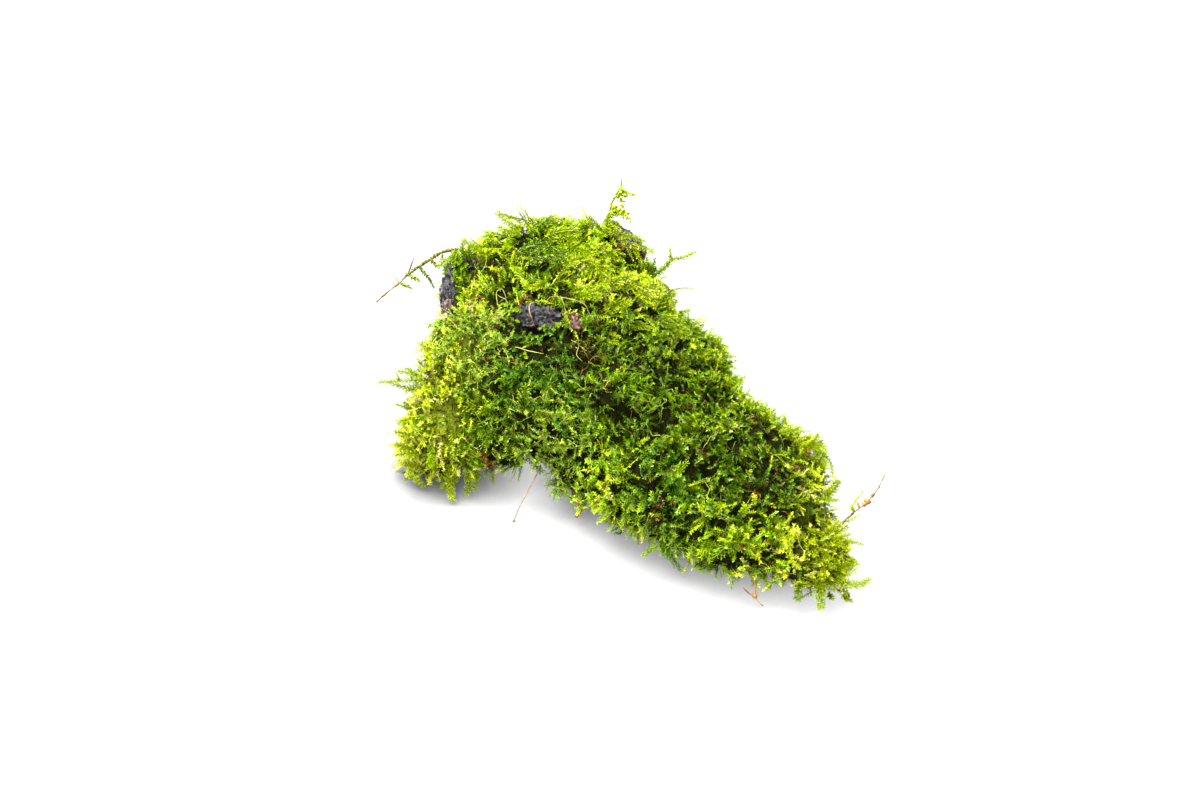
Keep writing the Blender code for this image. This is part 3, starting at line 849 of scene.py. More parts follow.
def grownArrays(shape, rows, plants):
    # All copies of one shoot at once, each bent along its length and set in its place.
    x, y, z = shape["points"].T
    bend = plants["bend"][rows][:, None]
    turn = bend * z / shape["length"]
    turn = np.where(np.abs(turn) < 1e-4, 1e-4, turn)
    rise = z * (1 - np.cos(turn)) / turn + y * np.cos(turn)
    reach = z * np.sin(turn) / turn - y * np.sin(turn)
    frameOf = [plants[key][rows][:, None, :] for key in ("side", "over", "along")]
    size = plants["size"][rows][:, None, None]
    places = x[None, :, None] * frameOf[0] + rise[..., None] * frameOf[1] + reach[..., None] * frameOf[2]
    places = places * size + plants["root"][rows][:, None, :]
    low, soft = growing["floor"] * mm, growing["softness"] * mm
    places[..., 2] = low + soft * np.logaddexp(0, (places[..., 2] - low) / soft)
    palette = np.empty(places.shape[:2] + (2,))
    palette[..., 0] = plants["tone"][rows][:, None] + shape["palette"][:, 0]
    # Each patch's light scales y as painted light and shade, and deep shoots are darkened as painted shade.
    light = plants["light"][rows] * (1 - growing["paintedDepthShade"] * plants["paintedDepthShade"][rows])
    palette[..., 1] = shape["palette"][:, 1] * light[:, None]
    return places.reshape(-1, 3), np.clip(palette, 0.01, 0.99).reshape(-1, 2)


def joinedMesh(name, parts):
    # parts: places, palette and corners of many shoots, joined in one mesh.
    places = np.concatenate([part[0] for part in parts])
    palette = np.concatenate([part[1] for part in parts])
    starts = np.cumsum([0] + [len(part[0]) for part in parts[:-1]])
    corners = np.concatenate([part[2] + start for part, start in zip(parts, starts)])
    mesh = bpy.data.meshes.new(name)
    mesh.vertices.add(len(places))
    mesh.vertices.foreach_set("co", places.astype(np.float32).ravel())
    mesh.loops.add(corners.size)
    mesh.loops.foreach_set("vertex_index", corners.astype(np.int32).ravel())
    mesh.polygons.add(len(corners))
    mesh.polygons.foreach_set("loop_start", np.arange(0, corners.size, 3, dtype=np.int32))
    mesh.update(calc_edges=True)
    layer = mesh.uv_layers.new(name="OFBake")
    layer.uv.foreach_set("vector", palette[corners.ravel()].astype(np.float32).ravel())
    return mesh


def shootParts(rows, plants):
    parts = []
    for number, shape in enumerate(allShapes):
        mine = rows[plants["shape"][rows] == number]
        if not len(mine):
            continue
        places, palette = grownArrays(shape, mine, plants)
        step = len(shape["points"])
        corners = shape["corners"][None] + (np.arange(len(mine)) * step)[:, None, None]
        parts.append((places, palette, corners.reshape(-1, 3)))
    return parts


# Materials

def fromScreen(colour):
    # A colour as read from a screen, 0 to 255, in Blender's linear numbers.
    shares = [value / 255 for value in colour]
    return [((share + 0.055) / 1.055) ** 2.4 if share > 0.04 else share / 12.92 for share in shares] + [1]


def newMaterial(name):
    material = bpy.data.materials.new(name)
    material.use_nodes = True
    tree = material.node_tree
    return material, tree, tree.nodes["Principled BSDF"]


mossTones = {
    0.00: (84, 50, 24),
    0.12: (158, 96, 40),
    0.24: (104, 92, 16),
    0.37: (62, 144, 0),
    0.50: (156, 176, 50),
    0.63: (140, 192, 0),
    0.78: (198, 222, 0),
    0.90: (232, 238, 28),
    1.00: (240, 226, 150),
}


def ramp(tree, stops, at=None):
    node = tree.nodes.new("ShaderNodeValToRGB")
    elements = node.color_ramp.elements
    places = sorted(stops)
    elements[0].position, elements[1].position = places[0], places[-1]
    for place in places[1:-1]:
        elements.new(place)
    for element, place in zip(elements, places):
        element.color = fromScreen(stops[place])
    if at is not None:
        tree.links.new(at, node.inputs["Fac"])
    return node.outputs["Color"]


def mixColours(tree, way, share, first, second):
    node = tree.nodes.new("ShaderNodeMix")
    node.data_type = "RGBA"
    node.blend_type = way
    for socket, value in ((node.inputs[0], share), (node.inputs[6], first), (node.inputs[7], second)):
        if isinstance(value, bpy.types.NodeSocket):
            tree.links.new(value, socket)
        else:
            socket.default_value = value
    return node.outputs[2]


def addBump(tree, surface, height, strength, distance):
    bump = tree.nodes.new("ShaderNodeBump")
    bump.inputs["Strength"].default_value = strength
    bump.inputs["Distance"].default_value = distance * mm
    tree.links.new(height, bump.inputs["Height"])
    tree.links.new(bump.outputs["Normal"], surface.inputs["Normal"])


leafLook = {
    "roughness": 0.18,
    "gloss": 0.6,
    "glossTint": (0.92, 1, 0.42, 1),
    "seeThrough": 0.34,    # share of the light that shines through a leaf
    "speckleSize": 55,
}


def mossMaterial():
    # The palette lies on the pieces' UV map: the tone along x, and along y the age together with painted
    # shade and painted highlights.
    material, tree, surface = newMaterial("moss leaf")
    place = tree.nodes.new("ShaderNodeUVMap")
    place.uv_map = "OFBake"
    apart = tree.nodes.new("ShaderNodeSeparateXYZ")
    tree.links.new(place.outputs["UV"], apart.inputs["Vector"])
    tone = ramp(tree, mossTones, apart.outputs["X"])
    # Low y is painted darker: partly the old feet of the shoots, partly painted shade at the leaf and shoot
    # feet, deep in the mat and in dim patches.
    shade = ramp(tree, {0.0: (40, 38, 20), 0.3: (90, 96, 56), 0.6: (184, 196, 158), 0.88: (255, 255, 255)},
                 apart.outputs["Y"])
    grown = mixColours(tree, "MULTIPLY", 1.0, tone, shade)
    # Leaf tips at the top of y are mixed towards pale lime: a painted highlight.
    paintedTipHighlight = ramp(tree, {0.84: (0, 0, 0), 0.99: (160, 160, 160)}, apart.outputs["Y"])
    grown = mixColours(tree, "MIX", paintedTipHighlight, grown, fromScreen((226, 240, 100)))
    speckle = tree.nodes.new("ShaderNodeTexNoise")
    speckle.inputs["Scale"].default_value = leafLook["speckleSize"]
    speckle.inputs["Detail"].default_value = 1
    tree.links.new(place.outputs["UV"], speckle.inputs["Vector"])
    light = ramp(tree, {0.3: (206, 206, 206), 0.7: (255, 255, 255)}, speckle.outputs["Fac"])
    colour = mixColours(tree, "MULTIPLY", 1.0, grown, light)
    tree.links.new(colour, surface.inputs["Base Color"])
    surface.inputs["Roughness"].default_value = leafLook["roughness"]
    surface.inputs["Specular IOR Level"].default_value = leafLook["gloss"]
    surface.inputs["Specular Tint"].default_value = leafLook["glossTint"]
    glow = tree.nodes.new("ShaderNodeBsdfTranslucent")
    tree.links.new(colour, glow.inputs["Color"])
    both = tree.nodes.new("ShaderNodeMixShader")
    both.inputs["Fac"].default_value = leafLook["seeThrough"]
    tree.links.new(surface.outputs["BSDF"], both.inputs[1])
    tree.links.new(glow.outputs["BSDF"], both.inputs[2])
    tree.links.new(both.outputs["Shader"], tree.nodes["Material Output"].inputs["Surface"])
    return material


def thatchMaterial():
    material, tree, surface = newMaterial("thatch of old stems")
    place = tree.nodes.new("ShaderNodeTexCoord")
    cloud = tree.nodes.new("ShaderNodeTexNoise")
    cloud.inputs["Scale"].default_value = thatch["fibreSize"]
    cloud.inputs["Detail"].default_value = 4
    cloud.inputs["Distortion"].default_value = thatch["fibreTwist"]
    tree.links.new(place.outputs["Object"], cloud.inputs["Vector"])
    stems = cloud.outputs["Fac"]
    # Near-black: the old stems' own dark colour, deepened as painted shade for the gaps between the shoots.
    dark = ramp(tree, {0.3: (4, 4, 1), 0.5: (13, 13, 3), 0.66: (26, 30, 4), 0.8: (52, 38, 12)}, stems)
    # Between the shoots of the two thin ends it is olive.
    olive = ramp(tree, {0.3: (46, 50, 8), 0.6: (84, 92, 16), 0.8: (120, 112, 30)}, stems)
    apart = tree.nodes.new("ShaderNodeSeparateXYZ")
    tree.links.new(place.outputs["Object"], apart.inputs["Vector"])
    along = addMath(tree, "MULTIPLY_ADD", apart.outputs["X"], thatch["endStretch"], thatch["endShift"])
    ends = ramp(tree, {0.2: (255, 255, 255), 0.28: (0, 0, 0), 0.84: (0, 0, 0), 0.92: (255, 255, 255)}, along)
    tree.links.new(mixColours(tree, "MIX", ends, dark, olive), surface.inputs["Base Color"])
    surface.inputs["Roughness"].default_value = 0.9
    surface.inputs["Specular IOR Level"].default_value = 0.02
    addBump(tree, surface, stems, 0.6, 0.4)
    return material


leafSurface = mossMaterial()
newPiece("moss_thatch", thatchMesh, thatchMaterial(), ["moss_mat"])

plants = growShoots()
print("places for", int(plants["keep"].sum()), "shoots of", len(plants["keep"]))
most = 190000
for number, habit in enumerate(habits):
    rows = np.flatnonzero(plants["keep"] & (plants["kind"] == number))[:habits[habit]["count"]]
    each = np.mean([len(shape["corners"]) for shape in habits[habit]["shapes"]])
    groups = math.ceil(len(rows) * each / most)
    for group in range(groups):
        # Each piece is one stretch of the clump from left to right.
        order = rows[np.argsort(plants["root"][rows, 0])]
        mine = np.array_split(order, groups)[group]
        name = f"moss_{habit}s_{group + 1}" if groups > 1 else f"moss_{habit}s"
        mesh = joinedMesh(name, shootParts(mine, plants))
        newPiece(name, mesh, leafSurface, ["moss_mat"])
        print(name, "has", len(mine), "shoots and", len(mesh.polygons), "triangles")


# Drawn shoots

def drawnPart(bm, layers):
    # Places, palette and corners, with nothing below the floor.
    shape = asArrays(bm, layers)
    shape["points"][:, 2] = np.maximum(shape["points"][:, 2], 0.1)
    return shape["points"] * mm, np.clip(shape["palette"], 0.01, 0.99), shape["corners"]


def leafyPart(path, leaf, agesAndShade, tones, leafy=1.0):
    bm, layers = newShoot()
    addLeafyAxis(bm, layers, path, leaf, agesAndShade, tones, leafy)
    return drawnPart(bm, layers)


def tubePart(path, radii, sides, knobs, tones, ageAndShade):
    bm, layers = newShoot()
    for ring, share in addTube(bm, path, radii, sides, knobs):
        for vert in ring:
            vert[layers[0]] = tones[0] + (tones[1] - tones[0]) * share
            vert[layers[1]] = ageAndShade
    return drawnPart(bm, layers)


def scaledLeaf(leaf, size, tilt=None):
    scaled = dict(leaf)
    for key in ("length", "width", "pitch", "stem"):
        scaled[key] *= size
    if tilt:
        scaled["tilt"] = tilt
    return scaled


# Stray shoots that stand clear of the mat. Each stem and branch gives its tone on the palette, and a branch
# also the number of the stem point that it leaves. leafy is the share of the stem with leaves, and reach the
# length of the branchlets along it. A branch whose tone is brown has no leaves.

sprigLeaf = {"length": 1.0, "width": 0.44, "pitch": 0.14, "tilt": 52, "fold": 0.24, "curl": -0.12,
             "flat": 0.15, "taper": 0.25, "stem": 0.22, "stemSteps": 2, "close": 0.3, "spread": 14}
plume = {"spacing": 0.56, "start": 0.04, "end": 0.96, "ahead": 0.7, "stemLeaf": 0.86, "leaf": 0.76}
bareTwig = {"brown": 0.2, "radii": (0.28, 0.14), "ageAndShade": 0.56}
strays = {
    "shoot_upper_left": {
        "stem": [(-46, 55.6, 34), (-50.2, 54.0, 36.4), (-54.4, 51.7, 37.1), (-57.4, 49.4, 36.5),
                 (-60.6, 47, 35.7), (-63.7, 45, 34.4), (-66.1, 43.2, 32.8), (-68.3, 42, 31.6),
                 (-70.9, 40, 30.4), (-72.5, 38.6, 29.4)],
        "tones": (0.9, 0.3), "leafy": 0.66, "size": 1.6, "tilt": 32, "agesAndShade": (0.54, 0.52),
        "stemTones": (0.14, 0.11), "stemRadii": (0.48, 0.22), "stemAgeAndShade": 0.6,
        "branches": [(1, 0.9, [(-50.6, 51.0, 34.4), (-49.8, 48.6, 32.6)]), (0, 0.88, [(-48.6, 52.4, 34.2)]),
                     (1, 0.88, [(-52.2, 50.6, 34.4)]), (2, 0.88, [(-53.8, 49.6, 35.2), (-53.2, 48.4, 33.6)]),
                     (3, 0.88, [(-55.6, 45.8, 36.9)]), (4, 0.52, [(-58.0, 43.5, 34.8), (-56.3, 40.3, 33.8)]),
                     (5, 0.86, [(-60.6, 42.6, 34.2)]), (6, 0.88, [(-62.6, 40.4, 33.2)]),
                     (5, 0.1, [(-62.0, 48.6, 37.8)]), (6, 0.12, [(-67.2, 44.8, 33.4)])],
    },
    "shoot_top": {
        "stem": [(-10.0, 60.2, 37.4), (-8.6, 61.3, 38.8), (-6.7, 63.2, 41.1), (-5.9, 65.6, 43.9),
                 (-4.8, 67.0, 45.6), (-3.1, 69.0, 47.9), (-2.8, 70.6, 50)],
        "tones": (0.8, 0.8), "leafy": 0.1, "size": 2.1, "agesAndShade": (0.6, 0.74),
        "stemTones": (0.6, 0.4), "stemRadii": (0.5, 0.16), "stemAgeAndShade": 0.58,
        "branches": [(5, 0.84, [(-1.8, 68.0, 46.8), (0.7, 67.5, 46.0)]),
                     (5, 0.9, [(-2.6, 67.6, 46.4)]), (4, 0.9, [(-3.2, 66.7, 45.2), (-2.4, 65.2, 43.6)]),
                     (4, 0.86, [(-3.5, 67.4, 46.1), (-1.5, 67.2, 45.9)]),
                     (3, 0.9, [(-4.6, 64.6, 42.9), (-3.6, 64.4, 42.4)]),
                     (3, 0.88, [(-3.2, 64.3, 42.3), (-0.4, 62.9, 40.6)]),
                     (2, 0.9, [(-4.7, 63.9, 42.0), (-3.0, 63.7, 41.5)]),
                     (2, 0.84, [(-4.0, 64.6, 42.6), (-1.2, 64.2, 41.9)]),
                     (1, 0.84, [(-6.0, 62.4, 40.2), (-3.6, 62.2, 39.8)])],
    },
    "shoot_right_upper": {
        "stem": [(1.5, 45, 31), (5.4, 46, 33.2), (8.1, 46.8, 34), (9.8, 47.9, 35.3), (11.2, 48.9, 36.5),
                 (15, 50, 37), (18.4, 51.2, 37.8)],
        "tones": (0.7, 0.8), "size": 1.4, "reach": 0.4,
        "branches": [(4, 0.8, [(11, 51, 39)]), (1, 0.45, [(6.6, 49.2, 36.4)])],
    },
    "shoot_right_lower": {
        "stem": [(6.5, 25.5, 33), (8.9, 27.2, 37), (10.3, 29.3, 38), (10.6, 31.2, 38.7), (12.1, 32.4, 38.9),
                 (14.7, 32.8, 39.1), (16.8, 32.7, 39)],
        "tones": (0.7, 0.8), "size": 1.0,
        "branches": [(2, 0.7, [(8.2, 31.4, 38.6), (7.7, 33.8, 40.6)])],
    },
    "shoot_left": {
        "stem": [(-54, 10.5, 22.5), (-57.6, 10.4, 24.0), (-61.4, 10.7, 23.7), (-64.8, 10.6, 23.5),
                 (-67.9, 10.4, 23.4), (-71, 10.4, 23.4)],
        "tones": (0.8, 0.88), "reach": 0.9,
        "branches": [(3, 0.84, [(-65.6, 12.2, 25.2)]), (2, 0.84, [(-61.8, 13.2, 25.6)])],
    },
    "shoot_foot_left": {
        "stem": [(-58.6, -2.4, 7.6), (-60.4, -4.2, 5.8), (-61.4, -6.0, 4.4), (-59.9, -7.4, 3.1),
                 (-57.6, -8.8, 1.8)],
        "tones": (0.84, 0.84), "size": 1.2, "reach": 0.9, "agesAndShade": (0.6, 0.76),
        "branches": [(1, 0.88, [(-59.0, -6.0, 4.4)]), (2, 0.86, [(-62.6, -7.0, 3.4)])],
    },
    "shoot_foot_middle": {
        "stem": [(-50.8, -4.5, 7.2), (-50.0, -6.9, 6.0), (-50.2, -10.0, 4.3), (-50.2, -12.4, 2.7),
                 (-49.8, -14.5, 1.2)],
        "tones": (0.8, 0.86), "size": 1.3, "reach": 1.15, "agesAndShade": (0.6, 0.78),
        "branches": [(2, 0.84, [(-51.6, -9.0, 2.6), (-52.8, -9.4, 1.8)]), (1, 0.86, [(-53.0, -7.2, 3.4)]),
                     (1, 0.86, [(-47.8, -7.4, 4.4)])],
    },
    "shoot_foot_right": {
        "stem": [(-45.2, -4.0, 6.4), (-45.3, -7.4, 5.0), (-45.4, -9.7, 3.3), (-46.0, -12.4, 1.6)],
        "tones": (0.8, 0.84), "size": 1.2, "reach": 0.95, "agesAndShade": (0.6, 0.76),
        "branches": [(1, 0.84, [(-42.8, -7.8, 4.2)])],
    },
    "shoot_arch": {
        "stem": [(-38.8, -4.0, 11), (-38.9, -7.6, 7.8), (-38.6, -10.6, 4.2)],
        "tones": (0.8, 0.86), "reach": 0.5, "branches": [],
    },
    "shoot_right_end": {
        "stem": [(51.5, -50, 8), (54.4, -54.2, 8.6), (56.9, -55.6, 9.0), (59.6, -56.0, 9.4),
                 (62.3, -54.8, 9.9)],
        "tones": (0.82, 0.84), "size": 1.25, "reach": 1.1,
        "branches": [(1, 0.88, [(56.0, -56.8, 8.6)])],
    },
    "shoot_front_long": {
        "stem": [(48.2, -51, 8.4), (48.8, -55.8, 8.2), (49.1, -59.0, 6.8), (49, -61.6, 5.4)],
        "tones": (0.78, 0.84), "size": 1.2, "reach": 1.5,
        "branches": [(1, 0.86, [(50.6, -57.6, 7.2)])],
    },
    "shoot_front_short": {
        "stem": [(43.6, -51.5, 6.6), (43.4, -54.4, 5.9), (43.0, -57.4, 4.6)],
        "tones": (0.7, 0.78), "size": 1.2, "reach": 1.3,
        "branches": [(0, 0.8, [(46.4, -54.2, 6.0), (46.8, -56.0, 5.2)])],
    },
    "shoot_right_side": {
        "stem": [(51, -42.5, 12.5), (54.4, -44.6, 14.0), (57.4, -45.2, 14.6), (60.6, -46.0, 14.2)],
        "tones": (0.84, 0.84), "reach": 0.4,
        "branches": [],
    },
}


def alongPath(path, share):
    # The point at a share of the path, and the way that the path runs there.
    index = min(int(share * (len(path) - 1)), len(path) - 2)
    return pointAt(path, share), (path[index + 1] - path[index]).normalized()


def plumeParts(path, leaf, agesAndShade, tones, reach, leafy=1.0):
    # A leafy stem with short leafy branchlets on both sides, spread out towards the viewer.
    length = sum((b - a).length for a, b in zip(path, path[1:]))
    count = round(length / plume["spacing"]) if reach else 0
    parts = [leafyPart(path, scaledLeaf(leaf, plume["stemLeaf"]) if count else leaf, agesAndShade, tones, leafy)]
    small = scaledLeaf(leaf, plume["leaf"])
    for number in range(count):
        share = plume["start"] + (plume["end"] - plume["start"]) * number / count
        point, along = alongPath(path, share)
        aside = along.cross(Vector(outlook["toCamera"])).normalized() * (1 if number % 2 else -1)
        size = (reach + 0.5) * (1 - 0.45 * share ** 2) * random.uniform(0.8, 1.15)
        twig = curvedPath(point, aside + along * plume["ahead"], size, along * 0.4, 2, 0.12)
        tone = tones[0] + (tones[1] - tones[0]) * share + random.uniform(-0.04, 0.04)
        parts.append(leafyPart(twig, small, (agesAndShade[0] + 0.1, agesAndShade[1] + 0.05), (tone, tone)))
    return parts


def strayMesh(name, shoot):
    leaf = scaledLeaf(sprigLeaf, shoot.get("size", 1), shoot.get("tilt"))
    stem = shoot["stem"]
    path = smoothPath(stem)
    agesAndShade = shoot.get("agesAndShade", (0.52, 0.68))
    parts = plumeParts(path, leaf, agesAndShade, shoot["tones"], shoot.get("reach", 0), shoot.get("leafy", 1))
    if "stemTones" in shoot:
        parts.append(tubePart(path, shoot["stemRadii"], 5, 0.7, shoot["stemTones"], shoot["stemAgeAndShade"]))
    for index, tone, points in shoot["branches"]:
        branch = smoothPath([stem[index]] + points)
        if tone < bareTwig["brown"]:
            parts.append(tubePart(branch, bareTwig["radii"], 5, 0.6, (tone, tone), bareTwig["ageAndShade"]))
        else:
            parts.append(leafyPart(branch, leaf, agesAndShade, (tone, tone)))
    return joinedMesh(name, parts)


for name, shoot in strays.items():
    newPiece(f"{name}_leaves", strayMesh(name, shoot), leafSurface, [name])
print("stray shoots set")


# Sprays: combs of long fronds over the top, lobes that stick out of the rim, and moss over the bark

combLeaf = {"length": 0.95, "width": 0.4, "pitch": 0.22, "tilt": 40, "fold": 0.2, "curl": -0.1,
            "flat": 0.0, "taper": 0.3, "stem": 0.16, "stemSteps": 2}
combShape = {"spacing": 0.44, "radii": (0.2, 0.1), "ahead": 0.9, "droop": 0.6, "backwards": 0.3}
combs = [
    # points along the stem, length of the teeth on its left and its right, and tone
    ([(-22.5, 29, 43), (-19.6, 33, 45), (-16, 36.8, 45.4), (-11.8, 35.4, 46), (-8.4, 31, 46),
      (-5.2, 27.4, 45.6)], (1.6, 6.4), 0.84),
    ([(-14.4, 20, 45), (-9, 23, 45.8), (-4.8, 25.6, 46.2), (-0.2, 25.8, 45.8), (3.8, 23.6, 45),
      (6.6, 20.6, 43)], (2.4, 5.0), 0.88),
    ([(-8, 55, 44), (-4, 50.5, 45), (-1.4, 47, 44.4), (1.4, 44.6, 42.4), (3.6, 42.6, 39.6)],
     (2.6, 3.6), 0.84),
    ([(-24, 49, 45.4), (-19, 50.4, 45.8), (-14.4, 51, 45.6)], (3.2, 3.4), 0.78),
    ([(-33, 43, 43.8), (-28, 45, 44.6), (-23, 44.4, 44.6), (-19, 42, 44.2)], (2.4, 4.4), 0.6),
    ([(-30, 39, 42.8), (-25.6, 41, 43.8), (-21, 40, 44), (-17.6, 37.4, 44)], (2.0, 3.6), 0.58),
    ([(-12, 41.6, 44.8), (-7, 42.4, 45), (-2.6, 39.4, 44)], (2.4, 3.8), 0.82),
    ([(-26, 54, 45.4), (-29.6, 54.8, 46.4), (-34, 56.2, 46.6), (-38.2, 57.4, 47.2)], (3.0, 4.0), 0.86),
    ([(-33, 50.6, 42.6), (-37, 51.4, 43.4), (-40.6, 52.2, 43.8)], (2.2, 2.2), 0.84),
    ([(7, 17, 42.6), (11, 15.4, 41), (15.4, 12, 38.6)], (2.8, 3.2), 0.74),
    ([(-2, 17, 45), (-1.4, 12.6, 44.4), (-2.4, 8, 43.4)], (2.4, 2.4), 0.56),
    ([(9, 34, 40), (10.6, 29.6, 40), (12, 25, 39.4)], (2.6, 3.2), 0.84),
    ([(-47, 33, 36), (-46.4, 28.6, 37.8), (-47.4, 24, 38.4)], (2.4, 2.6), 0.8),
]
